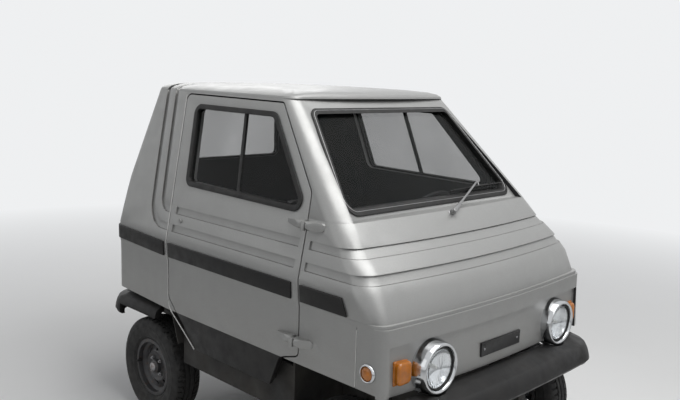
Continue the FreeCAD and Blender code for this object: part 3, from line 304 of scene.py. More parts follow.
def painted_shade_at(spot, normal):
    """How much painted shade a face gets: most on undersides and walls of channels, and less on their feet,
    where it is a painted dark reflection.
    """
    if normal.z < -0.2 and (spot.z > WAIST or spot.x > NOSE_START):
        return 1.0
    if spot.x > NOSE_START and spot.z < WAIST and normal.y * spot.y < 0 and abs(normal.y) > 0.6:
        return 1.0
    on_pillar = abs(spot.y) > PILLAR_SIDE and PILLAR_BACK < spot.x < PILLAR_FRONT and spot.z > PILLAR_FOOT
    if on_pillar and abs(normal.x) > 0.45:
        return 0.8
    if normal.z > 0.9 and min(abs(spot.z - foot) for foot in CHANNEL_FEET) < FOOT_REACH:
        return 0.7
    return 0.0


def mark_painted_shade(piece):
    """Keeps, face by face, how much painted shade the paint gets."""
    mark = piece.data.attributes.new("sheltered", "FLOAT", "FACE")
    for face, item in zip(piece.data.polygons, mark.data):
        item.value = painted_shade_at(face.center, face.normal)
    return piece


def line_inside(piece, material):
    """Gives the faces that look into the cabin a second material."""
    piece.data.materials.append(finish_named(material))
    for face in piece.data.polygons:
        if looks_inwards(face.center, face.normal):
            face.material_index = 1
    return piece


def panel_of(node, radius, segments=2, flat=0.12, angle=28):
    """A copy of a solid's mesh with its edges rounded as on pressed sheet."""
    piece = copy_of(NODES[node], node + "_looks")
    with editing(piece):
        bpy.ops.mesh.remove_doubles(threshold=PANEL_MERGE_DISTANCE)
        bpy.ops.mesh.dissolve_limited(angle_limit=math.radians(flat))
    round_edges(piece, radius, segments, angle)
    return smooth(piece, 32)


def fit_panel(node, name, radius, material, body):
    """A solid's own shape with rounded edges, in its material and in the solid's place."""
    return fit(panel_of(node, radius, 3), name, material, body, (node,))


# Materials.


RUST_ON_STEEL = (0.13, 0.07, 0.04, 1)
RUST_ON_PAINT = (0.09, 0.045, 0.025, 1)
FLAKE_SCALE = 1500
ROAD_FILM = (0.5, 0.8)


class Finish:
    """One material with its procedural nodes."""

    def __init__(self, name, colour, **sockets):
        self.material = bpy.data.materials.new(name + "_finish")
        self.material.use_nodes = True
        self.nodes = self.material.node_tree.nodes
        self.links = self.material.node_tree.links
        self.shader = self.nodes["Principled BSDF"]
        self.shader.inputs["Base Color"].default_value = (*colour, 1)
        for socket, value in sockets.items():
            self.shader.inputs[socket.replace("_", " ")].default_value = value
        self.place = self.nodes.new("ShaderNodeTexCoord").outputs["Object"]
        self.normal = None

    def node(self, kind, inputs, **settings):
        """One shader node with its inputs, each a value or another node's output, and its settings."""
        made = self.nodes.new("ShaderNode" + kind)
        for name, value in settings.items():
            setattr(made, name, value)
        for socket, value in inputs.items():
            if isinstance(value, bpy.types.NodeSocket):
                self.links.new(value, made.inputs[socket])
            else:
                made.inputs[socket].default_value = value
        return made

    def stretched(self, scale):
        """The place on the piece, stretched along each axis."""
        return self.node("Mapping", {"Vector": self.place, "Scale": scale}).outputs[0]

    def noise(self, scale, detail, place=None):
        inputs = {"Vector": place or self.place, "Scale": scale, "Detail": detail}
        return self.node("TexNoise", inputs).outputs["Fac"]

    def cells(self, scale, output="Distance"):
        return self.node("TexVoronoi", {"Vector": self.place, "Scale": scale}).outputs[output]

    def height(self):
        return self.node("SeparateXYZ", {"Vector": self.place}).outputs["Z"]

    def bands(self, scale, direction):
        return self.node("TexWave", {"Vector": self.place, "Scale": scale},
                         bands_direction=direction).outputs["Fac"]

    def spread(self, value, low, high, start=0.3, end=0.7):
        """A value carried from one range to another."""
        return self.node("MapRange", {"Value": value, "From Min": start, "From Max": end,
                                      "To Min": low, "To Max": high}).outputs["Result"]

    def times(self, first, second):
        return self.node("Math", {0: first, 1: second}, operation="MULTIPLY").outputs[0]

    def mixed(self, share, first, second):
        return self.node("Mix", {"Factor": share, 6: first, 7: second}, data_type="RGBA").outputs[2]

    def colour(self, value):
        self.links.new(value, self.shader.inputs["Base Color"])

    def drive(self, socket, value):
        self.links.new(value, self.shader.inputs[socket])

    def mottle(self, scale, detail, share, first, second, start=0.3, end=0.7):
        """Lets the colour drift by noise from one to a share of another."""
        self.colour(self.mixed(self.spread(self.noise(scale, detail), 0, share, start, end), first, second))

    def rough(self, scale, detail, low, high):
        """Lets the roughness drift by noise."""
        self.drive("Roughness", self.spread(self.noise(scale, detail), low, high))

    def grain(self, scale, detail, strength, distance):
        """Fine relief from noise."""
        self.relief(self.noise(scale, detail), strength, distance)

    def relief(self, height, strength, distance):
        """Relief from a height, over any relief that the finish has already."""
        inputs = {"Height": height, "Strength": strength, "Distance": distance}
        if self.normal is not None:
            inputs["Normal"] = self.normal
        self.normal = self.node("Bump", inputs).outputs["Normal"]
        self.links.new(self.normal, self.shader.inputs["Normal"])


def four(colour, times=1.0):
    """A colour of three parts as a socket's four, made lighter or darker."""
    return (colour[0] * times, colour[1] * times, colour[2] * times, 1.0)


def silver_paint(looks):
    made = Finish("silver_paint", looks.paint, Metallic=0.45, Coat_Weight=0.12, Coat_Roughness=0.08)
    flake = made.node("SeparateColor", {"Color": made.cells(FLAKE_SCALE, "Color")}).outputs["Red"]
    base = made.mixed(made.spread(flake, 0, 1, 0, 1), four(looks.paint, 0.86), four(looks.paint, 1.12))
    cloud = made.spread(made.noise(3.5, 4), 0, 0.22)
    base = made.mixed(cloud, base, four(looks.paint, 0.8))
    low = made.spread(made.height(), 0.55, 0, *ROAD_FILM)
    base = made.mixed(made.times(low, made.spread(made.noise(9, 6), 0, 0.5)), base, four(looks.grime))
    # Painted shade: faces marked in the channels, under the ledges and in the nose's recess are darkened to
    # near black.
    sheltered = made.node("Attribute", {}, attribute_name="sheltered").outputs["Fac"]
    shade_share = made.times(sheltered, made.spread(made.noise(20, 5), 0.55, 0.85))
    base = made.mixed(shade_share, base, four(looks.grime, 0.18))
    made.colour(base)
    made.rough(14, 5, 0.36, 0.48)
    made.grain(420, 2, 0.05, 0.0004)
    return made.material


def black_plastic(looks):
    made = Finish("black_plastic", looks.plastic, Specular_IOR_Level=0.28)
    made.mottle(7, 6, 0.2, four(looks.plastic), four(looks.grime, 0.22))
    made.rough(25, 4, 0.34, 0.56)
    made.grain(900, 3, 0.18, 0.0004)
    return made.material


def underbody_black(looks):
    made = Finish("underbody_black", looks.plastic)
    made.mottle(5, 7, 0.5, four(looks.plastic, 0.8), four(looks.grime, 0.35))
    made.rough(12, 5, 0.62, 0.92)
    made.grain(160, 6, 0.35, 0.0012)
    return made.material


def window_rubber(looks):
    made = Finish("window_rubber", looks.rubber, Specular_IOR_Level=0.35)
    made.mottle(18, 5, 0.25, four(looks.rubber), four(looks.grime, 0.14))
    made.rough(30, 4, 0.42, 0.62)
    made.grain(700, 3, 0.12, 0.0003)
    return made.material


def tyre_rubber(looks):
    made = Finish("tyre_rubber", looks.rubber)
    patches = made.spread(made.noise(16, 7), 0, 0.5)
    dust = made.times(patches, made.spread(made.height(), 1.0, 0.3, 0.0, 0.3))
    made.colour(made.mixed(dust, four(looks.rubber, 1.1), four(looks.grime, 0.22)))
    made.rough(40, 5, 0.66, 0.9)
    made.grain(520, 4, 0.3, 0.0004)
    return made.material


def wheel_paint(looks):
    made = Finish("wheel_paint", looks.wheel, Metallic=0.35, Coat_Weight=0.15, Coat_Roughness=0.3)
    rust = made.spread(made.noise(60, 8), 0, 0.55, 0.52, 0.72)
    base = made.mixed(made.spread(made.noise(14, 5), 0, 1), four(looks.wheel, 0.8), four(looks.wheel, 1.2))
    made.colour(made.mixed(rust, base, RUST_ON_PAINT))
    made.rough(35, 5, 0.36, 0.62)
    made.grain(300, 4, 0.12, 0.0004)
    return made.material


def clear_glass(looks):
    made = Finish("clear_glass", looks.glass, Roughness=0.02, Specular_IOR_Level=0.32)
    smear = made.spread(made.noise(4, 6, made.stretched((1, 1, 0.4))), 0.24, 0.30)
    made.drive("Alpha", smear)
    made.mottle(9, 5, 0.35, four(looks.glass), four(looks.grime, 0.16))
    return made.material


def lamp_glass(looks):
    made = Finish("lamp_glass", (0.92, 0.94, 0.95), Roughness=0.04, Transmission_Weight=0.96, IOR=1.42)
    made.grain(160, 3, 0.12, 0.0006)
    made.mottle(22, 4, 0.4, (0.95, 0.96, 0.97, 1), (0.82, 0.85, 0.86, 1))
    return made.material


def lamp_chrome(looks):
    made = Finish("lamp_chrome", looks.chrome, Metallic=1.0)
    made.mottle(26, 6, 0.5, four(looks.chrome), four(looks.chrome, 0.74))
    made.rough(45, 5, 0.07, 0.2)
    made.grain(260, 3, 0.03, 0.0003)
    return made.material


def bare_steel(looks):
    made = Finish("bare_steel", (0.32, 0.32, 0.33), Metallic=0.9)
    made.mottle(30, 8, 0.6, (0.33, 0.33, 0.34, 1), RUST_ON_STEEL, 0.5, 0.72)
    made.rough(24, 5, 0.32, 0.6)
    made.grain(220, 4, 0.15, 0.0004)
    return made.material


def cast_alloy(looks):
    made = Finish("cast_alloy", (0.36, 0.37, 0.38), Metallic=0.85)
    made.mottle(12, 6, 0.7, (0.40, 0.41, 0.42, 1), (0.20, 0.20, 0.21, 1))
    made.rough(50, 5, 0.42, 0.66)
    made.grain(380, 5, 0.3, 0.0006)
    return made.material


def amber_lens(looks):
    made = Finish("amber_lens", looks.amber, Roughness=0.14, Coat_Weight=0.3, Coat_Roughness=0.05)
    made.mottle(40, 3, 1, four(looks.amber), four(looks.amber, 0.7))
    made.relief(made.cells(220), 0.25, 0.0008)
    return made.material


def red_lens(looks):
    made = Finish("red_lens", looks.red, Roughness=0.14, Coat_Weight=0.7, Coat_Roughness=0.05)
    made.mottle(40, 3, 1, four(looks.red), four(looks.red, 0.6))
    made.relief(made.cells(220), 0.25, 0.0008)
    return made.material


def seat_vinyl(looks):
    made = Finish("seat_vinyl", looks.seat, Sheen_Weight=0.25, Sheen_Roughness=0.4)
    weave = made.times(made.bands(260, "X"), made.bands(260, "Y"))
    made.mottle(11, 5, 0.8, four(looks.seat), four(looks.seat, 1.7))
    made.rough(20, 4, 0.55, 0.78)
    made.relief(weave, 0.25, 0.0006)
    made.grain(30, 4, 0.25, 0.003)
    return made.material


def dash_plastic(looks):
    made = Finish("dash_plastic", looks.dash)
    made.mottle(9, 5, 0.7, four(looks.dash), four(looks.dash, 1.6))
    made.rough(26, 4, 0.5, 0.72)
    made.relief(made.cells(700), 0.3, 0.0005)
    return made.material


def battery_case(looks):
    made = Finish("battery_case", (0.05, 0.055, 0.065))
    made.mottle(10, 5, 0.8, (0.05, 0.055, 0.065, 1), (0.09, 0.09, 0.09, 1))
    made.rough(26, 4, 0.42, 0.66)
    made.grain(500, 3, 0.15, 0.0004)
    return made.material


def cabin_lining(looks):
    made = Finish("cabin_lining", looks.dash, Sheen_Weight=0.1)
    made.mottle(6, 5, 0.8, four(looks.dash), four(looks.dash, 1.8))
    made.rough(18, 4, 0.7, 0.9)
    made.grain(90, 3, 0.12, 0.0008)
    return made.material


def wiper_metal(looks):
    made = Finish("wiper_metal", (0.30, 0.30, 0.30), Metallic=0.8)
    made.mottle(30, 5, 0.6, (0.33, 0.33, 0.33, 1), (0.2, 0.2, 0.2, 1))
    made.rough(40, 4, 0.3, 0.5)
    return made.material


def bulb_glass(looks):
    made = Finish("bulb_glass", (0.9, 0.9, 0.86), Roughness=0.08, Coat_Weight=0.5)
    made.mottle(90, 3, 0.5, (0.92, 0.92, 0.88, 1), (0.7, 0.7, 0.66, 1))
    return made.material


def plate_black(looks):
    made = Finish("plate_black", (0.008, 0.008, 0.009), Specular_IOR_Level=0.3, Coat_Weight=0.08,
                  Coat_Roughness=0.15)
    made.mottle(24, 6, 0.3, (0.008, 0.008, 0.009, 1), four(looks.grime, 0.12))
    made.rough(30, 4, 0.24, 0.46)
    made.grain(300, 3, 0.06, 0.0003)
    return made.material


def pale_edge(looks):
    # Painted highlight: a silver far paler than the body paint, for edges that catch the light.
    made = Finish("pale_edge", (0.62, 0.62, 0.60), Metallic=0.25, Coat_Weight=0.2)
    made.mottle(30, 5, 0.6, (0.66, 0.66, 0.64, 1), (0.4, 0.4, 0.39, 1))
    made.rough(30, 4, 0.3, 0.5)
    made.grain(300, 3, 0.05, 0.0003)
    return made.material


def mirror_silver(looks):
    made = Finish("mirror_silver", (0.85, 0.86, 0.87), Metallic=1.0)
    made.rough(20, 5, 0.02, 0.06)
    made.mottle(12, 4, 0.2, (0.86, 0.87, 0.88, 1), (0.7, 0.7, 0.7, 1))
    return made.material


RECIPES = {recipe.__name__: recipe for recipe in (
    silver_paint, black_plastic, underbody_black, window_rubber, tyre_rubber, wheel_paint, clear_glass,
    lamp_glass, lamp_chrome, bare_steel, cast_alloy, amber_lens, red_lens, seat_vinyl, dash_plastic,
    battery_case, plate_black, pale_edge, mirror_silver, cabin_lining, wiper_metal, bulb_glass)}


def finish_named(name):
    """The finish of that name, made when it is first asked for."""
    if name + "_finish" in bpy.data.materials:
        return bpy.data.materials[name + "_finish"]
    return RECIPES[name](bpy.context.scene.microcar_looks)


# Sizes and colours that a user may change.


def colour_setting(name, description, default):
    return bpy.props.FloatVectorProperty(name=name, description=description, default=default, size=3,
                                         min=0.0, max=1.0, subtype="COLOR")


def length_setting(name, description, default):
    return bpy.props.FloatProperty(name=name, description=description, default=default, min=0.0,
                                   unit="LENGTH", subtype="DISTANCE")


class MicrocarLooks(bpy.types.PropertyGroup):
    paint: colour_setting("Paint", "Silver of the body panels", (0.34, 0.34, 0.332))
    plastic: colour_setting("Plastic", "Black of the bumpers, skirts and strips", (0.009, 0.009, 0.0095))
    rubber: colour_setting("Rubber", "Black of the window rubbers and tyres", (0.010, 0.010, 0.010))
    wheel: colour_setting("Wheel", "Grey of the steel wheels", (0.05, 0.05, 0.052))
    glass: colour_setting("Glass", "Tint of the panes", (0.006, 0.008, 0.008))
    chrome: colour_setting("Chrome", "Bright metal of the lamp trims", (0.60, 0.61, 0.62))
    amber: colour_setting("Amber", "Lenses of the indicators", (0.60, 0.185, 0.004))
    red: colour_setting("Red", "Lenses of the tail lamps", (0.5, 0.012, 0.01))
    seat: colour_setting("Seat", "Cover of the seats", (0.022, 0.022, 0.024))
    dash: colour_setting("Dashboard", "Plastic of the dashboard", (0.014, 0.014, 0.015))
    # Grime also gives the near-black painted shade in the body paint's channels, recesses and undersides.
    grime: colour_setting("Grime", "Dust on paint and plastic", (0.2, 0.18, 0.15))


class MicrocarSizes(bpy.types.PropertyGroup):
    panel_edge: length_setting("Panel edge", "Rounding of the body panels' edges", 0.003)
    trim_edge: length_setting("Trim edge", "Rounding of plastic and rubber edges", 0.004)
    tread_depth: length_setting("Tread depth", "Depth of the grooves in the tyres", 0.006)
    spring_wire: length_setting("Spring wire", "Thickness of the springs' wire", 0.010)
    tread_blocks: bpy.props.IntProperty(name="Tread blocks", description="Blocks round each tyre",
                                        default=54, min=12, max=120)


class Piece:
    """What every operator of this add-on shares."""

    bl_options = {"REGISTER", "UNDO"}

    def execute(self, context):
        self.make(context.scene.microcar_sizes)
        return {"FINISHED"}


class MICROCAR_OT_body(Piece, bpy.types.Operator):
    """Make the painted panels of the body with rounded edges"""

    bl_idname = "microcar.body"
    bl_label = "Body panels"

    def make(self, sizes):
        for node in ("cabin_shell", "bonnet", "nose_panel", "tail_panel", "roof"):
            panel = mark_painted_shade(panel_of(node, sizes.panel_edge * 600, 3))
            fit(panel, node + "_panel", "silver_paint", "body", (node,))
            line_inside(panel, "cabin_lining")


class MICROCAR_OT_doors(Piece, bpy.types.Operator):
    """Make the doors' painted panels, skirts, strips and hinge covers"""

    bl_idname = "microcar.doors"
    bl_label = "Doors"

    def make(self, sizes):
        for body in ("left_door", "right_door"):
            skin = mark_painted_shade(panel_of(body + "_panel", sizes.panel_edge * 1000, 3))
            fit(skin, body + "_skin", "silver_paint", body, (body + "_panel",))
            line_inside(skin, "cabin_lining")
            fit_panel(body + "_trim", body + "_skirt_and_strip", sizes.trim_edge * 750, "black_plastic",
                      body)
            fit_panel(body + "_fittings", body + "_hinge_covers", 3, "silver_paint", body)
            fit_panel(body + "_rubber", body + "_window_rubber", sizes.trim_edge * 1000, "window_rubber",
                      body)


class MICROCAR_OT_trim(Piece, bpy.types.Operator):
    """Make the body's black strips, window rubbers and bumpers"""

    bl_idname = "microcar.trim"
    bl_label = "Strips, rubbers and bumpers"

    def make(self, sizes):
        fit_panel("body_strips", "waist_strips", sizes.trim_edge * 750, "black_plastic", "body")
        fit_panel("window_rubbers", "screen_and_rear_rubbers", sizes.trim_edge * 1000, "window_rubber",
                  "body")
        for end in ("front", "rear"):
            fit_panel(end + "_bumper", end + "_bumper_cover", sizes.trim_edge * 1000, "black_plastic",
                      "body")


def tilted(origin, along, up):
    """Matrix that carries X to one line and Z to about another, from an origin in the frame."""
    along = Vector(along).normalized()
    across = Vector(up).cross(along).normalized()
    turn = Matrix((along, across, along.cross(across))).transposed().to_4x4()
    return Matrix.Translation(origin) @ turn


def placed(piece, turn):
    """Moves and turns a finished shape's mesh by a matrix."""
    piece.data.transform(turn)
    return piece


def coil(name, centre, radius, low, high, turns, wire):
    """An upright spring between two heights, made by winding a ring of wire."""
    unselect()
    bpy.ops.mesh.primitive_circle_add(vertices=10, radius=wire / 2000, rotation=(math.pi / 2, 0, 0),
                                      location=(radius / 1000, 0, low / 1000))
    piece = bpy.context.object
    bpy.ops.object.transform_apply(location=True, rotation=True, scale=True)
    with editing(piece):
        bpy.ops.mesh.edge_face_add()
    finish_with(piece, "SCREW", axis="Z", angle=math.tau, screw_offset=(high - low) / turns / 1000,
                iterations=turns, steps=28, render_steps=28, use_merge_vertices=False)
    piece.data.transform(Matrix.Translation(at(centre[0], centre[1], 0)))
    with editing(piece):
        bpy.ops.mesh.fill_holes(sides=0)
    piece.name = name
    return smooth(face_outwards(piece), 60)


LAMP_PLACE, LAMP_HEIGHT = 414, 662
# Rings of a headlamp, as (radius, place along the car).
LAMP_TRIM = ((79, 922), (80, 940), (82, 946), (86, 949.4), (90, 949.6), (93, 947.5), (95.5, 942), (98, 928),
             (101, 910), (103.5, 897), (106, 888), (104, 883), (92, 883), (84, 896), (79, 910))
LAMP_BEZEL = ((72.5, 928), (72.8, 938), (74, 940.5), (77, 940.5), (79.5, 938), (79.5, 926), (76, 922))
LAMP_BOWL = ((76, 936), (70, 928), (60, 919.5), (48, 912), (34, 906), (20, 902.5), (9, 901), (0, 900.8),
             (0, 898.5), (20, 899.6), (36, 903.6), (52, 911), (64, 919.5), (74, 931), (77.5, 936))
LENS_RADIUS, LENS_RISE, LENS_FACE, LENS_RINGS = 74.0, 8.0, 936.5, 20
LENS_WALL = 0.0025
FLUTE_PITCH, FLUTE_DEPTH = 9.0, 0.7
BULB = ((0, 926), (3, 925.5), (5.5, 923), (6.5, 919), (6.5, 908), (9, 907), (9, 900), (0, 900))


class MICROCAR_OT_headlamps(Piece, bpy.types.Operator):
    """Make both round headlamps: chrome trim, bezel, reflector, bulb and fluted lens"""

    bl_idname = "microcar.headlamps"
    bl_label = "Headlamps"

    def make(self, sizes):
        centre = at(0, LAMP_PLACE, LAMP_HEIGHT)
        parts = (
            ("trim", self.ring(LAMP_TRIM, centre, 96), "lamp_chrome", "lamp_chrome", ("headlamps",)),
            ("bezel", self.ring(LAMP_BEZEL, centre, 72), "window_rubber", "window_rubber", ()),
            ("bowl", self.ring(LAMP_BOWL, centre, 72), "mirror_silver", "lamp_chrome", ()),
            ("lens", self.lens(centre), "lamp_glass", "clear_glass", ()),
            ("bulb", smooth(spun("bulb", BULB, centre, "X", 24), 40), "bulb_glass", "clear_glass", ()),
        )
        for word, piece, material, slot, nodes in parts:
            fit_pair(piece, "headlamp_" + word, material, nodes)

    def ring(self, profile, centre, steps):
        """A closed profile spun round the lamp's middle."""
        return smooth(spun("ring", profile + profile[:1], centre, "X", steps), 50)

    def lens(self, centre):
        """A domed glass whose upright flutes fade out towards its rim."""
        profile = []
        for index in range(LENS_RINGS + 1):
            radius = LENS_RADIUS * (1 - index / LENS_RINGS)
            profile.append((radius, LENS_FACE + LENS_RISE * (1 - (radius / LENS_RADIUS) ** 2)))
        lens = spun("lens", profile, centre, "X", 112)
        with editing(lens) as mesh:
            for corner in mesh.verts:
                out = corner.co - centre
                edge = max(0.0, 1 - math.hypot(out.y, out.z) * 1000 / LENS_RADIUS)
                wave = math.cos(out.y * 1000 / FLUTE_PITCH * math.tau)
                corner.co.x += FLUTE_DEPTH / 1000 * wave * min(1.0, edge * 8)
            bmesh.update_edit_mesh(lens.data)
        finish_with(lens, "SOLIDIFY", thickness=LENS_WALL, offset=-1)
        return smooth(lens, 60)


INDICATOR_PLACE, INDICATOR_HEIGHT = 563, 670
INDICATOR_RIBS, INDICATOR_RIB_PITCH = 9, 6
REPEATER_PLACE, REPEATER_HEIGHT = 823, 672
REPEATER_RING = ((35, 662), (35.4, 669), (33.5, 673.5), (30.5, 675.5), (27.5, 674.5), (26, 670), (26, 662))
REPEATER_DOME = ((25.6, 662), (25.6, 669), (23, 673), (17, 676.4), (9, 678.4), (0, 679), (0, 662),
                 (25.6, 662))


class MICROCAR_OT_indicators(Piece, bpy.types.Operator):
    """Make the amber indicators on the nose and the round repeaters on its sides"""

    bl_idname = "microcar.indicators"
    bl_label = "Indicators"

    def make(self, sizes):
        lens = block("lens", (872, INDICATOR_PLACE - 37, INDICATOR_HEIGHT - 42),
                     (908, INDICATOR_PLACE + 37, INDICATOR_HEIGHT + 42))
        with editing(lens) as mesh:
            select_where(mesh, "edges", lambda item: abs(item.verts[0].co.x - item.verts[1].co.x) > 0.01)
            bpy.ops.mesh.bevel(offset=0.021, segments=8, affect="EDGES")
            select_where(mesh, "faces", lambda item: item.normal.x > 0.9)
            bpy.ops.mesh.bevel(offset=0.011, segments=5, affect="EDGES")
        base = block("base", (870, INDICATOR_PLACE - 40, INDICATOR_HEIGHT - 45),
                     (888, INDICATOR_PLACE + 40, INDICATOR_HEIGHT + 45), 5, 3)
        ribs = []
        for index in range(INDICATOR_RIBS):
            place = INDICATOR_PLACE - 24 + INDICATOR_RIB_PITCH * index
            ribs.append(block("rib", (896, place, INDICATOR_HEIGHT - 27),
                              (908.5, place + 2, INDICATOR_HEIGHT + 27), 0.9, 2))
        lens = join("lens", [lens] + ribs)
        centre = at(REPEATER_PLACE, 0, REPEATER_HEIGHT)
        ring = spun("ring", REPEATER_RING + REPEATER_RING[:1], centre, "Y", 64)
        dome = spun("dome", REPEATER_DOME, centre, "Y", 48)
        parts = (
            ("indicator_lens", smooth(lens, 40), "amber_lens", "amber_lens", ("indicators",)),
            ("indicator_base", smooth(base, 40), "amber_lens", "amber_lens", ()),
            ("repeater_ring", smooth(ring, 50), "lamp_chrome", "lamp_chrome", ()),
            ("repeater_lens", smooth(dome, 60), "amber_lens", "amber_lens", ()),
        )
        for word, piece, material, slot, nodes in parts:
            fit_pair(piece, word, material, nodes)


TAIL_LAMP_PLACE, TAIL_RIB_PITCH = 505, 6.5
# Word, low edge, high edge and material of each field of a lens.
TAIL_FIELDS = (
    ("amber", 749, 792, "amber_lens"),
    ("red", 694, 748, "red_lens"),
    ("clear", 652, 693, "red_lens"),
)


class MICROCAR_OT_tail_lamps(Piece, bpy.types.Operator):
    """Make the upright tail lamps with their ribbed lenses"""

    bl_idname = "microcar.tail_lamps"
    bl_label = "Tail lamps"

    def make(self, sizes):
        place = TAIL_LAMP_PLACE
        for word, low, high, material in TAIL_FIELDS:
            pieces = [block("field", (-965, place - 34, low), (-946, place + 34, high), 4, 3)]
            height = low + 6
            while height < high - 5:
                pieces.append(block("rib", (-967, place - 30, height),
                                    (-960, place + 30, height + 2.4), 1, 2))
                height += TAIL_RIB_PITCH
            lens = smooth(join("lens", pieces), 40)
            fit_pair(lens, "tail_lamp_" + word, material, ("tail_lamps",))
        base = smooth(block("base", (-955, place - 36, 650), (-940, place + 36, 794), 3, 3), 40)
        fit_pair(base, "tail_lamp_base", "black_plastic")


HALF_PLATE, PLATE_LOW, PLATE_HIGH = 133, 631, 687
# End of the car, and the two faces of its plate.
PLATES = (("front", 911, 921), ("rear", -947.5, -940))


class MICROCAR_OT_plates(Piece, bpy.types.Operator):
    """Make the two blank number plates with raised rims and screws"""

    bl_idname = "microcar.plates"
    bl_label = "Number plates"

    def make(self, sizes):
        for word, first, last in PLATES:
            out = 1 if word == "front" else -1
            face = last if out > 0 else first
            sheet = block("sheet", (first, -HALF_PLATE, PLATE_LOW), (last, HALF_PLATE, PLATE_HIGH), 2, 2)
            with editing(sheet) as mesh:
                select_where(mesh, "faces", lambda item: item.normal.x * out > 0.9)
                bpy.ops.mesh.inset(thickness=0.004)
                bpy.ops.transform.translate(value=(-0.0012 * out, 0, 0))
            screws = [drum("screw", at(face - 4 * out, side * 112, 659),
                           at(face + 0.8 * out, side * 112, 659), 4.5, 16, 1) for side in (1, -1)]
            fit(smooth(sheet, 40), word + "_plate", "plate_black", "body",
                ("number_plates",))
            assemble(screws, word + "_plate_screws", "bare_steel", "body")


# Along and height of the windscreen pocket's lower and upper edge.
SCREEN_FOOT, SCREEN_HEAD = (575, 1166), (235, 1545)


def out_of_screen():
    """Unit line straight out of the windscreen."""
    climb = Vector((SCREEN_HEAD[0] - SCREEN_FOOT[0], 0, SCREEN_HEAD[1] - SCREEN_FOOT[1])).normalized()
    return Vector((climb.z, 0, -climb.x))


def on_screen(across, height, proud):
    """A point over the windscreen, proud of the floor of its pocket, from millimetres."""
    share = (height - SCREEN_FOOT[1]) / (SCREEN_HEAD[1] - SCREEN_FOOT[1])
    along = SCREEN_FOOT[0] + share * (SCREEN_HEAD[0] - SCREEN_FOOT[0])
    return at(along, across, height) + out_of_screen() * proud / 1000


SCREEN_CORNERS = ((-546, 1166, 52), (546, 1166, 52), (434, 1545, 45), (-434, 1545, 45))
INSERT_INSET, INSERT_PROUD, INSERT_RADIUS = 11, 5.6, 1.6
CORNER_STEPS = 10


def rounded_loop(corners, inset):
    """Points round an outline of (across, height, radius) corners, set in by some millimetres."""
    points = []
    for last, here, following in zip(corners[-1:] + corners[:-1], corners, corners[1:] + corners[:1]):
        spot, radius = Vector(here[:2]), here[2]
        back = (Vector(last[:2]) - spot).normalized()
        on = (Vector(following[:2]) - spot).normalized()
        half = back.angle(on) / 2
        centre = spot + (back + on).normalized() * radius / math.sin(half)
        first, second = ((spot + way * radius / math.tan(half) - centre).normalized() for way in (back, on))
        for index in range(CORNER_STEPS + 1):
            points.append(centre + first.slerp(second, index / CORNER_STEPS) * (radius - inset))
    return points


class MICROCAR_OT_screen_insert(Piece, bpy.types.Operator):
    """Make the bright filler strip in the windscreen's rubber"""

    bl_idname = "microcar.screen_insert"
    bl_label = "Windscreen filler strip"

    def make(self, sizes):
        outline = rounded_loop(SCREEN_CORNERS, INSERT_INSET)
        points = [on_screen(spot.x, spot.y, INSERT_PROUD) for spot in outline]
        strip = tube("strip", points, INSERT_RADIUS, 12, closed=True)
        fit(smooth(strip, 60), "windscreen_filler_strip", "wiper_metal", "body")


class MICROCAR_OT_wiper(Piece, bpy.types.Operator):
    """Make the windscreen wiper: spindle, sprung arm, blade frame and rubber"""

    bl_idname = "microcar.wiper"
    bl_label = "Wiper"

    def make(self, sizes):
        out = out_of_screen()
        foot = at(648, -11, 1138)
        pivot = foot + out * 0.026
        elbow = on_screen(318, 1224, 18)
        along = (elbow - pivot).normalized()
        boss = drum("boss", foot - out * 0.004, foot + out * 0.020, 12, 28, 2)
        cap = drum("cap", foot + out * 0.016, foot + out * 0.032, 9.5, 28, 3)
        collar = drum("collar", foot - out * 0.004, foot + out * 0.006, 17, 32, 2)
        root = block("root", (-14, -9, -6), (110, 9, 6), 4, 3)
        with editing(root) as mesh:
            select_where(mesh, "verts", lambda corner: corner.co.x > 0.05)
            bpy.ops.transform.resize(value=(1, 0.6, 0.7), center_override=(0.11, 0, 0))
        placed(root, tilted(pivot, along, out))
        rod = block("rod", (98, -4.2, -2.2), ((elbow - pivot).length * 1000, 4.2, 2.2), 1.6, 2)
        placed(rod, tilted(pivot, along, out))
        hook = drum("hook", elbow - out * 0.002, on_screen(314, 1206, 12), 3.6, 14, 1)
        arm = [collar, boss, cap, root, rod, hook]
        assemble(arm, "wiper_arm", "wiper_metal", "body", ("wiper",))
        start, end = on_screen(108, 1202, 8.5), on_screen(491, 1208, 8.5)
        length = (end - start).length * 1000
        spine = block("spine", (18, -2.4, 3.2), (length - 18, 2.4, 6.2), 1, 2)
        bridge = block("bridge", (length * 0.3, -3.4, 5), (length * 0.7, 3.4, 9.5), 1.4, 2)
        claws = [block("claw", (place - 5, -3.6, 0.5), (place + 5, 3.6, 6.8), 1, 2)
                 for place in (24, length * 0.34, length * 0.72, length - 24)]
        turn = tilted(start, end - start, out)
        frame_piece = placed(join("blade_frame", [spine, bridge] + claws), turn)
        fit(smooth(frame_piece, 40), "wiper_blade_frame", "black_plastic", "body")
        rubber = block("rubber", (0, -2.6, 0), (length, 2.6, 3.6), 1, 2)
        lip = block("lip", (1, -0.7, -4.2), (length - 1, 0.7, 1), 0.3, 1)
        blade = placed(join("blade_rubber", [rubber, lip]), turn)
        fit(smooth(blade, 40), "wiper_blade_rubber", "window_rubber", "body")


COLUMN_SLOPE = math.radians(28)
COLUMN_LINE = Vector((-math.cos(COLUMN_SLOPE), 0, math.sin(COLUMN_SLOPE)))
COLUMN_FOOT, COLUMN_LENGTH = Vector((0.455, 0.255, 0.915)), 0.190
WHEEL_CENTRE = COLUMN_FOOT + COLUMN_LINE * COLUMN_LENGTH
RIM_RADIUS, RIM_HALF = 0.180, 0.0108
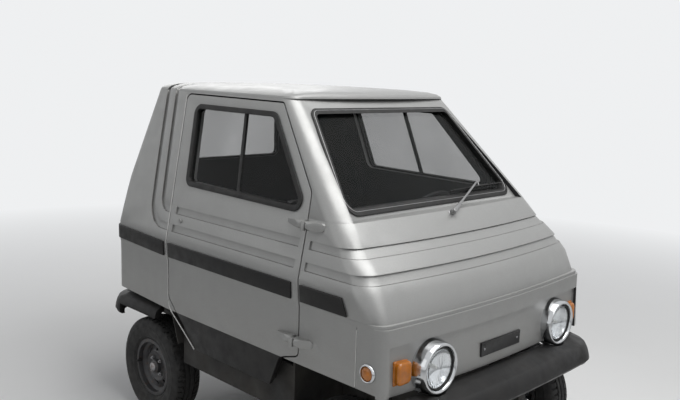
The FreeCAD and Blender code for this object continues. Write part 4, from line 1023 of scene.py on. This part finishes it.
# Degrees from one ring of the rim's faces to the next, and how many rings lie from notch to notch.
RIM_GRIP_STEP, RIM_GRIP_EVERY = 2.5, 5
SPOKE_TURNS = (0, 180, 270)
HUB_PAD = ((0, 8), (20, 7.5), (34, 5.5), (42, 1.5), (45, -4), (44, -12), (38, -18), (31, -20), (31, -33),
           (0, -33))


class MICROCAR_OT_steering(Piece, bpy.types.Operator):
    """Make the steering wheel with its padded hub, and the column's shroud and stalk"""

    bl_idname = "microcar.steering"
    bl_label = "Steering wheel"

    def make(self, sizes):
        turn = tilted(WHEEL_CENTRE, Vector((0, 1, 0)), COLUMN_LINE)
        unselect()
        bpy.ops.mesh.primitive_torus_add(major_radius=RIM_RADIUS, minor_radius=RIM_HALF,
                                         major_segments=144, minor_segments=16)
        rim = bpy.context.object

        def in_grip(item):
            spot = middle_of(item)
            step = round(math.degrees(math.atan2(spot.y, spot.x)) / RIM_GRIP_STEP)
            return step % RIM_GRIP_EVERY == 0 and spot.z < 0.002

        with editing(rim) as mesh:
            select_where(mesh, "faces", in_grip)
            bpy.ops.transform.shrink_fatten(value=-0.0012)
        spokes = []
        for angle in SPOKE_TURNS:
            spoke = block("spoke", (28, -13, -7), (176, 13, -1), 2.5, 3)
            with editing(spoke) as mesh:
                select_where(mesh, "verts", lambda corner: corner.co.x > 0.1)
                bpy.ops.transform.resize(value=(1, 0.6, 1), center_override=(0.17, 0, 0))
            spokes.append(placed(spoke, Matrix.Rotation(math.radians(angle), 4, "Z")))
        pad = spun("pad", HUB_PAD, (0, 0, 0), "Z", 48)
        wheel = placed(join("wheel", [rim, pad] + spokes), turn)
        fit(smooth(wheel, 40), "steering_wheel_rim", "dash_plastic", "steering_hand_wheel",
            ("steering_wheel",))
        shroud = block("shroud", (-34, -30, -150), (34, 30, -52), 10, 4)
        stalk = drum("stalk", (0.02, 0, -0.075), (0.125, 0.01, -0.06), 4.5, 14, 2)
        knob = drum("knob", (0.115, 0.009, -0.061), (0.145, 0.012, -0.057), 7, 16, 3)
        cover = placed(join("shroud", [shroud, stalk, knob]), turn)
        fit(smooth(cover, 40), "column_shroud", "dash_plastic", "body")


# Place across and radius of each dial, and the places of the vents.
DIALS = ((190, 22), (255, 24), (320, 22))
VENTS = (-420, -250, 60, 470)


class MICROCAR_OT_dashboard(Piece, bpy.types.Operator):
    """Make the dashboard with its instrument hood, dials, vents and shelf edge"""

    bl_idname = "microcar.dashboard"
    bl_label = "Dashboard"

    def make(self, sizes):
        fit(panel_of("dashboard", 9, 4), "dashboard_moulding", "dash_plastic", "body",
            ("dashboard",))
        hood = block("hood", (448, 120, 1036), (560, 390, 1096), 14, 5)
        with editing(hood) as mesh:
            select_where(mesh, "faces", lambda item: item.normal.x < -0.9)
            bpy.ops.mesh.inset(thickness=0.008)
            bpy.ops.mesh.extrude_region_move(TRANSFORM_OT_translate={"value": (0.03, 0, 0)})
        fit(smooth(hood, 40), "instrument_hood", "dash_plastic", "body")
        rings, faces = [], []
        for place, radius in DIALS:
            centre = at(0, place, 1066)
            ring = ((radius + 2, 469), (radius + 2, 480), (radius, 480), (radius - 1.5, 472), (radius, 469))
            rings.append(spun("ring", ring + ring[:1], centre, "X", 40))
            face = ((0, 477), (radius - 1, 476), (radius - 1, 482), (0, 482))
            faces.append(spun("face", face, centre, "X", 40))
        assemble(rings, "dial_rings", "lamp_chrome", "body")
        assemble(faces, "dial_faces", "plate_black", "body")
        slats = []
        for place in VENTS:
            slats.append(block("frame", (448, place - 44, 985), (458, place + 44, 1022), 3, 3))
            for height in range(990, 1022, 8):
                slats.append(block("slat", (444, place - 38, height), (449, place + 38, height + 3), 1, 2))
        assemble(slats, "dashboard_vents", "black_plastic", "body")


SEAT_LEAN = math.radians(14)
SEAT_PLACE = 255
PAD_VOXEL, PAD_CAP, PAD_PRESSURE, PAD_FRAMES = 0.0095, 0.016, 4.0, 20
PAD_SEAMS, SEAM_DEPTH, SEAM_HALF = (-0.12, -0.04, 0.04, 0.12), 0.006, 0.006


def swelled(pad):
    """Blows a block up as cloth round its filling, as far as a cap, and leaves only its mesh."""
    finish_with(pad, "REMESH", mode="VOXEL", voxel_size=PAD_VOXEL)
    start = [corner.co.copy() for corner in pad.data.vertices]
    cloth = pad.modifiers.new("cloth", "CLOTH")
    cloth.settings.use_pressure = True
    cloth.settings.uniform_pressure_force = PAD_PRESSURE
    cloth.settings.effector_weights.gravity = 0
    for number in range(1, PAD_FRAMES + 1):
        bpy.context.scene.frame_set(number)
    shape = pad.evaluated_get(bpy.context.evaluated_depsgraph_get()).to_mesh()
    moved = [corner.co - first for corner, first in zip(shape.vertices, start)]
    pad.modifiers.remove(cloth)
    bpy.context.scene.frame_set(1)
    for corner, first, move in zip(pad.data.vertices, start, moved):
        corner.co = first + (move if move.length < PAD_CAP else move.normalized() * PAD_CAP)
    finish_with(pad, "SUBSURF", levels=1, render_levels=1)
    return pad


def sewn(pad, axis):
    """Draws sewn channels into a pad: sinks it along its seams, on the face that looks along an axis."""
    for corner in pad.data.vertices:
        away = min(abs(corner.co.y - seam) for seam in PAD_SEAMS)
        face = max(0.0, min(1.0, corner.co[axis] * 40))
        corner.co[axis] -= SEAM_DEPTH * face * math.exp(-(away / SEAM_HALF) ** 2)
    return pad


class MICROCAR_OT_seats(Piece, bpy.types.Operator):
    """Make both seats: padded cushions and backs with sewn channels, and frames"""

    bl_idname = "microcar.seats"
    bl_label = "Seats"

    def make(self, sizes):
        cushion = block("cushion", (-218, -208, -46), (212, 208, 40), 30, 4)
        cushion = sewn(swelled(cushion), 2)
        back = block("back", (-38, -208, -240), (34, 208, 236), 26, 4)
        back = sewn(swelled(back), 0)
        lean = Matrix.Rotation(-SEAT_LEAN, 4, "Y")
        for word, side in SIDES:
            place = side * SEAT_PLACE
            seat_turn = Matrix.Translation(at(-105, place, 555))
            back_turn = Matrix.Translation(at(-330, place, 557)) @ lean @ Matrix.Translation(at(45, 0, 262))
            for name, pad, turn in (("cushion", cushion, seat_turn), ("backrest", back, back_turn)):
                piece = smooth(copy_of(pad, name, turn), 70)
                seat = word + "_seat"
                fit(piece, seat + "_" + name, "seat_vinyl", "body", (seat,))
            fit(self.frame(seat_turn, back_turn), word + "_seat_frame", "bare_steel", "body")
        for pad in (cushion, back):
            bpy.data.objects.remove(pad)

    def frame(self, seat_turn, back_turn):
        """The tray under the cushion, the plate behind the back and the hinges between them."""
        tray = placed(block("tray", (-214, -200, -53), (206, 200, -40), 5, 3), seat_turn)
        plate = placed(block("plate", (-45, -196, -252), (-34, 196, 228), 4, 3), back_turn)
        hinges = []
        for side in (1, -1):
            hinge = drum("hinge", at(-30, side * 212, -238), at(-30, side * 196, -238), 20, 32, 3)
            hinges.append(placed(hinge, back_turn))
        return smooth(join("frame", [tray, plate] + hinges), 40)


class MICROCAR_OT_wheelhouses(Piece, bpy.types.Operator):
    """Make the inner walls of the rear wheelhouses"""

    bl_idname = "microcar.wheelhouses"
    bl_label = "Wheelhouse walls"

    def make(self, sizes):
        wall = block("wall", (-905, 424, 436), (-392, 430, 642), 2, 2)
        front = block("front", (-3, 424, 0), (3, 632, 216), 2, 2)
        placed(front, Matrix.Translation(at(-392, 0, 436)) @ Matrix.Rotation(math.radians(-21), 4, "Y"))
        ribs = [block("rib", (start, 430, 470), (start + 24, 434, 620), 1.5, 2)
                for start in range(-860, -420, 110)]
        fit_pair(smooth(join("wall", [wall, front] + ribs), 40), "wheelhouse_wall", "underbody_black")


STRUTS = ((FRONT_AXLE, 455), (FRONT_AXLE, -455))
REAR_SPRINGS = ((REAR_AXLE, 360), (REAR_AXLE, -360))
# Radius, lower end, upper end and turns of a spring.
FRONT_COIL, REAR_COIL = (34, 500, 590, 4), (32, 282, 596, 8)
MOTOR_FINS, BATTERIES = 9, 4
AXLE_CASE = ((0, -82), (30, -82), (60, -75), (80, -58), (84, -20), (84, 20), (80, 58), (60, 75), (30, 82),
             (0, 82))


class MICROCAR_OT_running_gear(Piece, bpy.types.Operator):
    """Make the coil springs, dampers, rear axle, motor fins and battery lids"""

    bl_idname = "microcar.running_gear"
    bl_label = "Running gear"

    def make(self, sizes):
        wire = sizes.spring_wire * 1000
        springs = [coil("spring", spot, *FRONT_COIL, wire) for spot in STRUTS]
        fit(join("front_springs", springs), "front_springs", "bare_steel", "body")
        axle = [
            self.bar((-455, AXLE_HEIGHT), (455, AXLE_HEIGHT), 30, 36, 2),
            self.bar((-580.5, AXLE_HEIGHT), (580.5, AXLE_HEIGHT), 15, 28, 1),
            spun("case", AXLE_CASE, at(REAR_AXLE, 0, AXLE_HEIGHT), "Y", 56),
        ]
        for side in (1, -1):
            axle.append(self.bar((side * 446, AXLE_HEIGHT), (side * 456, AXLE_HEIGHT), 62, 48, 2))
            axle.append(self.bar((side * 360, 268), (side * 360, 278), 44, 36, 3))
            axle.append(self.bar((side * 360, 250), (side * 360, 420), 15, 24, 2))
            axle.append(self.bar((side * 360, 400), (side * 360, 598), 19, 24, 2))
        assemble(axle, "rear_axle_and_dampers", "cast_alloy", "body", ("rear_axle",))
        springs = [coil("spring", spot, *REAR_COIL, wire) for spot in REAR_SPRINGS]
        fit(join("rear_springs", springs), "rear_springs", "bare_steel", "body")
        motor = [panel_of("motor", 10, 4)]
        low, high = (corner * 1000 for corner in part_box("motor"))
        for index in range(MOTOR_FINS):
            place = low.y + 26 + index * (high.y - low.y) / (MOTOR_FINS + 1)
            motor.append(block("fin", (high.x - 4, place - 3, low.z + 18),
                               (high.x + 10, place + 3, high.z - 18), 2, 2))
        assemble(motor, "motor_casing", "cast_alloy", "body", ("motor",))
        low, high = (corner * 1000 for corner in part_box("batteries"))
        boxes = []
        step = (high.y - low.y) / BATTERIES
        for index in range(BATTERIES):
            start = low.y + index * step
            boxes.append(block("case", (low.x, start + 2, low.z),
                               (high.x, start + step - 2, high.z - 14), 5, 3))
            boxes.append(block("lid", (low.x + 6, start + 8, high.z - 22),
                               (high.x - 6, start + step - 8, high.z - 3), 5, 3))
        assemble(boxes, "battery_cases", "battery_case", "body", ("batteries",))

    def bar(self, start, end, radius, sides, bevel):
        """A round bar in the rear axle's plane, between two places of (across, height)."""
        return drum("bar", at(REAR_AXLE, *start), at(REAR_AXLE, *end), radius, sides, bevel)


# Rings of a brake drum and of a joint's boot, as (radius, place along the axis).
BRAKE_DRUM = ((24, -34), (70, -32), (76, -28), (78, -22), (78, 4), (75, 9), (66, 12), (30, 14), (24, 16))
JOINT_BOOT = ((16, 20), (22, 24), (17, 28), (23, 32), (17, 36), (22, 40), (15, 44), (12, 44), (12, 20))
KNUCKLE_PLACE = 455


class MICROCAR_OT_brakes(Piece, bpy.types.Operator):
    """Make the brake drums in the four wheels and the rubber boots on the knuckles"""

    bl_idname = "microcar.brakes"
    bl_label = "Brakes and boots"

    def make(self, sizes):
        for where, along, side in WHEELS:
            middle = at(along, side * (WHEEL_MIDDLE - 6), AXLE_HEIGHT)
            profile = tuple((radius, side * place) for radius, place in BRAKE_DRUM)
            drum_piece = spun("drum", profile + profile[:1], middle, "Y", 64)
            fit(smooth(drum_piece, 40), where + "_brake_drum", "cast_alloy", where + "_wheel")
        for word, side in SIDES:
            middle = at(FRONT_AXLE, side * KNUCKLE_PLACE, 172)
            boot = spun("boot", JOINT_BOOT + JOINT_BOOT[:1], middle, "Z", 32)
            fit(smooth(boot, 50), word + "_joint_boot", "window_rubber", "body")


# Place across, height and half width of each pedal's pad.
PEDALS = ((330, 452, 24), (205, 470, 38))
LEVER_KNOB = ((0, -4), (10, -3), (16, 6), (19, 18), (17, 30), (10, 37), (0, 39))
LEVER_BOOT = ((12, 84), (20, 66), (17, 58), (28, 42), (25, 34), (40, 16), (46, 0), (40, -3), (8, -3),
              (12, 84))


class MICROCAR_OT_controls(Piece, bpy.types.Operator):
    """Make the pedals and the hand lever between the seats"""

    bl_idname = "microcar.controls"
    bl_label = "Pedals and lever"

    def make(self, sizes):
        pieces = []
        for place, height, width in PEDALS:
            pad = block("pad", (-5, -width, -26), (5, width, 26), 3.5, 3)
            with editing(pad) as mesh:
                select_where(mesh, "faces", lambda item: item.normal.x < -0.9)
                bpy.ops.mesh.inset(thickness=0.005)
                bpy.ops.mesh.extrude_region_move(TRANSFORM_OT_translate={"value": (-0.003, 0, 0)})
            turn = Matrix.Translation(at(440, place, height)) @ Matrix.Rotation(math.radians(-35), 4, "Y")
            bends = ((443, 8), (470, 90), (520, 190), (560, 240))
            arm = tube("arm", [at(along, place, height + rise) for along, rise in bends], 6, 12)
            pieces += [placed(pad, turn), arm]
        assemble(pieces, "foot_pedals", "black_plastic", "body")
        rod = tube("rod", [at(120, 0, 345), at(112, 0, 430), at(92, 0, 520), at(60, 0, 590)], 7, 16)
        knob = spun("knob", LEVER_KNOB, (0, 0, 0), "Z", 28)
        placed(knob, Matrix.Translation(at(62, 0, 584)) @ Matrix.Rotation(math.radians(-25), 4, "Y"))
        boot = spun("boot", LEVER_BOOT, at(116, 0, 356), "Z", 28)
        assemble([rod, knob], "hand_lever", "bare_steel", "body")
        fit(smooth(boot, 50), "hand_lever_boot", "window_rubber", "body")


# Distance from the tyre's middle plane and from the axle, from one bead to the other.
HALF_TYRE = (
    (0, 238.5), (3, 238.5), (3.4, 244.2), (12, 245), (22.6, 244.8), (23, 239), (28, 238.6), (28.4, 244.4),
    (38, 244), (47, 243), (54, 240.6), (60, 236.5), (64.5, 230.5), (68, 222), (70.4, 212), (71.8, 204),
    (72.9, 203), (72.9, 200), (72.2, 198.6), (72.4, 188), (71.2, 177), (68.5, 166), (65, 157.5), (65.6, 155),
    (64, 151), (60, 147.6), (56, 144), (52.5, 141), (51, 138), (51, 127),
)
# Sectors for each block of tread, of which one is a cut across, and the cut's place and share of the depth.
SIPE_STEPS = 3
SIPE_FLOOR, SIPE_START, SIPE_END, SIPE_SHARE = 0.2355, 0.0285, 0.061, 0.8
WHEEL_NUTS, NUT_CIRCLE = 4, 0.046
HUB_CAP = ((22.5, 46), (22.5, 50), (20, 54), (14, 57), (6, 58.4), (0, 58.6), (0, 46), (22.5, 46))


class MICROCAR_OT_wheels(Piece, bpy.types.Operator):
    """Make the four tyres with their tread and the four steel wheels with nuts and caps"""

    bl_idname = "microcar.wheels"
    bl_label = "Wheels"

    def make(self, sizes):
        tyre = self.tyre(sizes)
        for where, along, side in WHEELS:
            body = where + "_wheel"
            shift = Matrix.Translation(at(along, side * WHEEL_MIDDLE, AXLE_HEIGHT))
            turn = shift if side > 0 else shift @ Matrix.Rotation(math.pi, 4, "Z")
            fit(copy_of(tyre, "tyre", turn), where + "_tread_tyre", "tyre_rubber", body,
                (where + "_tyre",))
            rim = smooth(panel_of(where + "_rim", 1.4, 2, 0.3, 30), 40)
            fit(rim, where + "_steel_wheel", "wheel_paint", body, (where + "_rim",))
            fit(placed(self.fixings(), turn), where + "_nuts_and_cap", "bare_steel", body)
            fit(placed(self.valve(), turn), where + "_valve", "window_rubber", body)
        bpy.data.objects.remove(tyre)

    def tyre(self, sizes):
        """A tyre with ring grooves from its profile and cuts across its shoulders."""
        profile = [(radius, -across) for across, radius in reversed(HALF_TYRE[1:])]
        profile += [(radius, across) for across, radius in HALF_TYRE]
        sectors = sizes.tread_blocks * SIPE_STEPS
        tyre = spun("tyre", tuple(profile) + (profile[0],), (0, 0, 0), "Y", sectors)

        def in_sipe(item):
            spot = middle_of(item)
            sector = round((math.atan2(spot.z, spot.x) + math.tau) / (math.tau / sectors) - 0.5)
            if (sector + (spot.y <= 0)) % SIPE_STEPS or abs(item.normal.y) >= 0.75:
                return False
            return math.hypot(spot.x, spot.z) > SIPE_FLOOR and SIPE_START < abs(spot.y) < SIPE_END

        with editing(tyre) as mesh:
            select_where(mesh, "faces", in_sipe)
            bpy.ops.mesh.extrude_region_shrink_fatten(
                TRANSFORM_OT_shrink_fatten={"value": -sizes.tread_depth * SIPE_SHARE})
        return smooth(tyre, 32)

    def fixings(self):
        """The wheel nuts on their studs and the cap of the bearing."""
        pieces = []
        for index in range(WHEEL_NUTS):
            angle = math.tau * (index + 0.5) / WHEEL_NUTS
            centre = Vector((math.cos(angle), 0, math.sin(angle))) * NUT_CIRCLE
            nut = drum("nut", centre + Vector((0, 0.021, 0)), centre + Vector((0, 0.033, 0)), 9.5, 6, 1.2)
            stud = drum("stud", centre + Vector((0, 0.03, 0)), centre + Vector((0, 0.039, 0)), 5, 14, 1)
            pieces += [nut, stud]
        cap = spun("cap", HUB_CAP, (0, 0, 0), "Y", 36)
        return smooth(join("fixings", pieces + [cap]), 40)

    def valve(self):
        """The tyre's valve with its cap."""
        stem = drum("stem", Vector((0.1135, 0.040, 0)), Vector((0.1180, 0.060, 0)), 4, 16, 1)
        cap = drum("cap", Vector((0.1174, 0.058, 0)), Vector((0.1188, 0.066, 0)), 5, 16, 1.2)
        return smooth(join("valve", [stem, cap]), 40)


# Along and height of the doorway's rear edge, and height and half width of the body.
EDGE_LINE, EDGE_STEPS = ((-425, 645), (-426.5, 950), (-519.5, 1566)), 10
HALF_WIDTHS = ((455, 653), (600, 664), (772, 664), (822, 665), (846, 670), (930, 675), (1000, 656),
               (1075, 635), (1152, 614), (1580, 497))
# Points of the left doorway's lower lip, and of the painted highlight along the crease on its wing.
LIP_LINE = ((-421, 664, 640), (-414, 665, 618), (-398, 665, 597), (-300, 663, 525), (-228, 657, 462))
CREASE_HIGHLIGHT_LINE = ((761, 663.2, 604), (761, 663.4, 700), (761, 663.8, 812))


def side_at(height):
    """Half width of the body at a height, in millimetres."""
    for (low, first), (high, last) in zip(HALF_WIDTHS, HALF_WIDTHS[1:]):
        if low <= height <= high:
            return first + (last - first) * (height - low) / (high - low)
    raise ValueError("no side at this height")


class MICROCAR_OT_door_edges(Piece, bpy.types.Operator):
    """Make the pale strips along the doorways' rear edges and the lip that runs on below them, bare flange
    paler than the paint as a painted highlight, and a painted highlight along the wing's crease
    """

    bl_idname = "microcar.door_edges"
    bl_label = "Doorway edges"

    def make(self, sizes):
        points = []
        for first, last in zip(EDGE_LINE, EDGE_LINE[1:]):
            for index in range(EDGE_STEPS + (last is EDGE_LINE[-1])):
                share = index / EDGE_STEPS
                along, height = (a + (b - a) * share for a, b in zip(first, last))
                points.append(at(along, side_at(height) - 0.6, height))
        edge = tube("edge", points, 2.2, 12)
        lip = tube("lip", [at(*spot) for spot in LIP_LINE], 2.6, 12)
        crease = tube("crease", [at(*spot) for spot in CREASE_HIGHLIGHT_LINE], 1.9, 12)
        fit_pair(smooth(join("edge", [edge, lip, crease]), 60), "doorway_edge", "pale_edge")


# The card's outer face, and the pull handle's bends: along, in from that face, and height.
CARD_FACE = 622
PULL_BENDS = ((-150, 6, 880), (-140, 30, 884), (-40, 30, 884), (-30, 6, 880))


class MICROCAR_OT_lining(Piece, bpy.types.Operator):
    """Make the dark lining inside the cabin: door cards, pockets and pull handles"""

    bl_idname = "microcar.lining"
    bl_label = "Cabin lining"

    def make(self, sizes):
        for word, side in SIDES:
            low, high = sorted((side * (CARD_FACE - 8), side * CARD_FACE))
            card = block("card", (-330, low, 640), (400, high, 930), 3.5, 3)
            low, high = sorted((side * (CARD_FACE - 26), side * (CARD_FACE - 6)))
            pocket = block("pocket", (-60, low, 655), (330, high, 760), 7, 4)
            bends = [at(along, side * (CARD_FACE - off), height) for along, off, height in PULL_BENDS]
            pull = tube("pull", bends, 8, 12)
            assemble([card, pocket, pull], word + "_door_card", "dash_plastic", word + "_door")


STAGE_FLOOR = 40.0
FADE_START, FADE_END = 2.2, 6.5
PALE = (0.86, 0.87, 0.88, 1)
SKY_COLOUR, SKY_STRENGTH = (0.93, 0.95, 1.0, 1), 0.2
LAMP_AIM = Vector((0, 0, 0.8))
# Name, place, power in watts and width of each soft lamp.
LAMPS = (
    ("top_lamp", (1.5, 0.2, 4.8), 160, 3.2),
    ("key_lamp", (4.9, -0.6, 4.0), 26, 2.2),
    ("fill_lamp", (-0.6, -5.4, 3.0), 14, 3.0),
    ("back_lamp", (-4.4, 2.4, 3.6), 40, 3.0),
)
CAMERA_PLACE = Vector((2.5726, -2.5810, 1.6950))
CAMERA_YAW, CAMERA_DOWN, CAMERA_ROLL = math.radians(134.969), math.radians(9.2348), math.radians(1.9561)
CAMERA_FOCUS, PHOTO_WIDTH, SENSOR = 791.16, 680, 36


class MICROCAR_OT_stage(Piece, bpy.types.Operator):
    """Set up the floor, the soft light and the camera"""

    bl_idname = "microcar.stage"
    bl_label = "Stage"

    def make(self, sizes):
        self.add_floor()
        self.add_world()
        for lamp in LAMPS:
            self.add_lamp(*lamp)
        self.add_camera()
        bpy.context.scene.view_settings.view_transform = "Standard"

    def add_floor(self):
        """A wide round floor in a pale finish."""
        unselect()
        bpy.ops.mesh.primitive_circle_add(vertices=96, radius=STAGE_FLOOR, fill_type="NGON")
        floor = bpy.context.object
        floor.name = "floor"
        with editing(floor):
            bpy.ops.mesh.inset(thickness=STAGE_FLOOR * 0.8)
        made = Finish("pale_floor", (0.82, 0.82, 0.81), Roughness=0.7)
        made.mottle(1.2, 4, 0.5, (0.84, 0.84, 0.83, 1), (0.80, 0.80, 0.79, 1))
        self.fade_to_white(made)
        floor.data.materials.append(made.material)

    def fade_to_white(self, made):
        """The floor reads as plain white further off, as the backdrop does."""
        away = made.node("VectorMath", {0: made.place}, operation="LENGTH").outputs["Value"]
        seen = made.node("LightPath", {}).outputs["Is Camera Ray"]
        share = made.times(made.spread(away, 0, 1, FADE_START, FADE_END), seen)
        white = made.node("Emission", {"Color": PALE, "Strength": 1.0}).outputs[0]
        mix = made.node("MixShader", {"Fac": share, 1: made.shader.outputs[0], 2: white}).outputs[0]
        made.links.new(mix, made.nodes["Material Output"].inputs["Surface"])

    def add_world(self):
        """A weak sky that lights the car, and plain white where the camera, gloss or glass looks at it."""
        world = bpy.data.worlds.new("soft_sky")
        bpy.context.scene.world = world
        world.use_nodes = True
        nodes, links = world.node_tree.nodes, world.node_tree.links
        sky = nodes["Background"]
        sky.inputs["Color"].default_value = SKY_COLOUR
        sky.inputs["Strength"].default_value = SKY_STRENGTH
        white = nodes.new("ShaderNodeBackground")
        white.inputs["Color"].default_value = PALE
        ray = nodes.new("ShaderNodeLightPath")
        plain = ray.outputs["Is Camera Ray"]
        for kind in ("Is Glossy Ray", "Is Transmission Ray"):
            either = nodes.new("ShaderNodeMath")
            either.operation = "MAXIMUM"
            links.new(plain, either.inputs[0])
            links.new(ray.outputs[kind], either.inputs[1])
            plain = either.outputs[0]
        mix = nodes.new("ShaderNodeMixShader")
        links.new(plain, mix.inputs["Fac"])
        links.new(sky.outputs[0], mix.inputs[1])
        links.new(white.outputs[0], mix.inputs[2])
        links.new(mix.outputs[0], nodes["World Output"].inputs["Surface"])

    def add_lamp(self, name, place, power, width):
        """A square soft lamp that looks at the car."""
        lamp = bpy.data.lights.new(name, "AREA")
        lamp.energy = power
        lamp.size = width
        holder = bpy.data.objects.new(name, lamp)
        bpy.context.scene.collection.objects.link(holder)
        holder.location = place
        holder.rotation_euler = (LAMP_AIM - Vector(place)).to_track_quat("-Z", "Y").to_euler()

    def add_camera(self):
        """A camera that sees the car as the photo shows it."""
        level_part = math.cos(CAMERA_DOWN)
        ahead = Vector((math.cos(CAMERA_YAW) * level_part, math.sin(CAMERA_YAW) * level_part,
                        -math.sin(CAMERA_DOWN)))
        level = Vector((math.sin(CAMERA_YAW), -math.cos(CAMERA_YAW), 0))
        upright = level.cross(ahead)
        right = math.cos(CAMERA_ROLL) * level + math.sin(CAMERA_ROLL) * upright
        up = -math.sin(CAMERA_ROLL) * level + math.cos(CAMERA_ROLL) * upright
        camera = bpy.data.cameras.new("camera")
        camera.sensor_width = SENSOR
        camera.lens = CAMERA_FOCUS / PHOTO_WIDTH * SENSOR
        holder = bpy.data.objects.new("camera", camera)
        bpy.context.scene.collection.objects.link(holder)
        turn = Matrix((right, up, -ahead)).transposed().to_4x4()
        holder.matrix_world = Matrix.Translation(CAMERA_PLACE) @ turn
        bpy.context.scene.camera = holder


class MICROCAR_OT_solids(Piece, bpy.types.Operator):
    """Give each solid that stays in view its material"""

    bl_idname = "microcar.solids"
    bl_label = "Solids that stay"

    def make(self, sizes):
        for name, node in NODES.items():
            if node.hide_render:
                continue
            node.data.materials.clear()
            node.data.materials.append(finish_named(SLOTS[name]))
            if name not in ("windscreen", "rear_window"):
                smooth(node, 32)


OPERATORS = (
    MICROCAR_OT_body, MICROCAR_OT_doors, MICROCAR_OT_trim, MICROCAR_OT_door_edges, MICROCAR_OT_headlamps,
    MICROCAR_OT_indicators, MICROCAR_OT_tail_lamps, MICROCAR_OT_plates, MICROCAR_OT_screen_insert,
    MICROCAR_OT_wiper, MICROCAR_OT_steering, MICROCAR_OT_dashboard, MICROCAR_OT_lining, MICROCAR_OT_seats,
    MICROCAR_OT_controls, MICROCAR_OT_brakes, MICROCAR_OT_wheelhouses, MICROCAR_OT_running_gear,
    MICROCAR_OT_wheels, MICROCAR_OT_solids, MICROCAR_OT_stage)


class MICROCAR_PT_sidebar(bpy.types.Panel):
    """The sizes, colours and pieces of the microcar"""

    bl_label = "Microcar"
    bl_idname = "MICROCAR_PT_sidebar"
    bl_space_type = "VIEW_3D"
    bl_region_type = "UI"
    bl_category = "Microcar"

    def draw(self, context):
        for group in (context.scene.microcar_looks, context.scene.microcar_sizes):
            for name in type(group).__annotations__:
                self.layout.prop(group, name)
        for operator in OPERATORS:
            self.layout.operator(operator.bl_idname)


CLASSES = (MicrocarLooks, MicrocarSizes) + OPERATORS + (MICROCAR_PT_sidebar,)


def register():
    for entry in CLASSES:
        bpy.utils.register_class(entry)
    bpy.types.Scene.microcar_looks = bpy.props.PointerProperty(type=MicrocarLooks)
    bpy.types.Scene.microcar_sizes = bpy.props.PointerProperty(type=MicrocarSizes)


def unregister():
    del bpy.types.Scene.microcar_sizes
    del bpy.types.Scene.microcar_looks
    for entry in reversed(CLASSES):
        bpy.utils.unregister_class(entry)


def main():
    register()
    for operator in OPERATORS:
        group, name = operator.bl_idname.split(".")
        getattr(getattr(bpy.ops, group), name)()


if __name__ == "__main__":
    main()
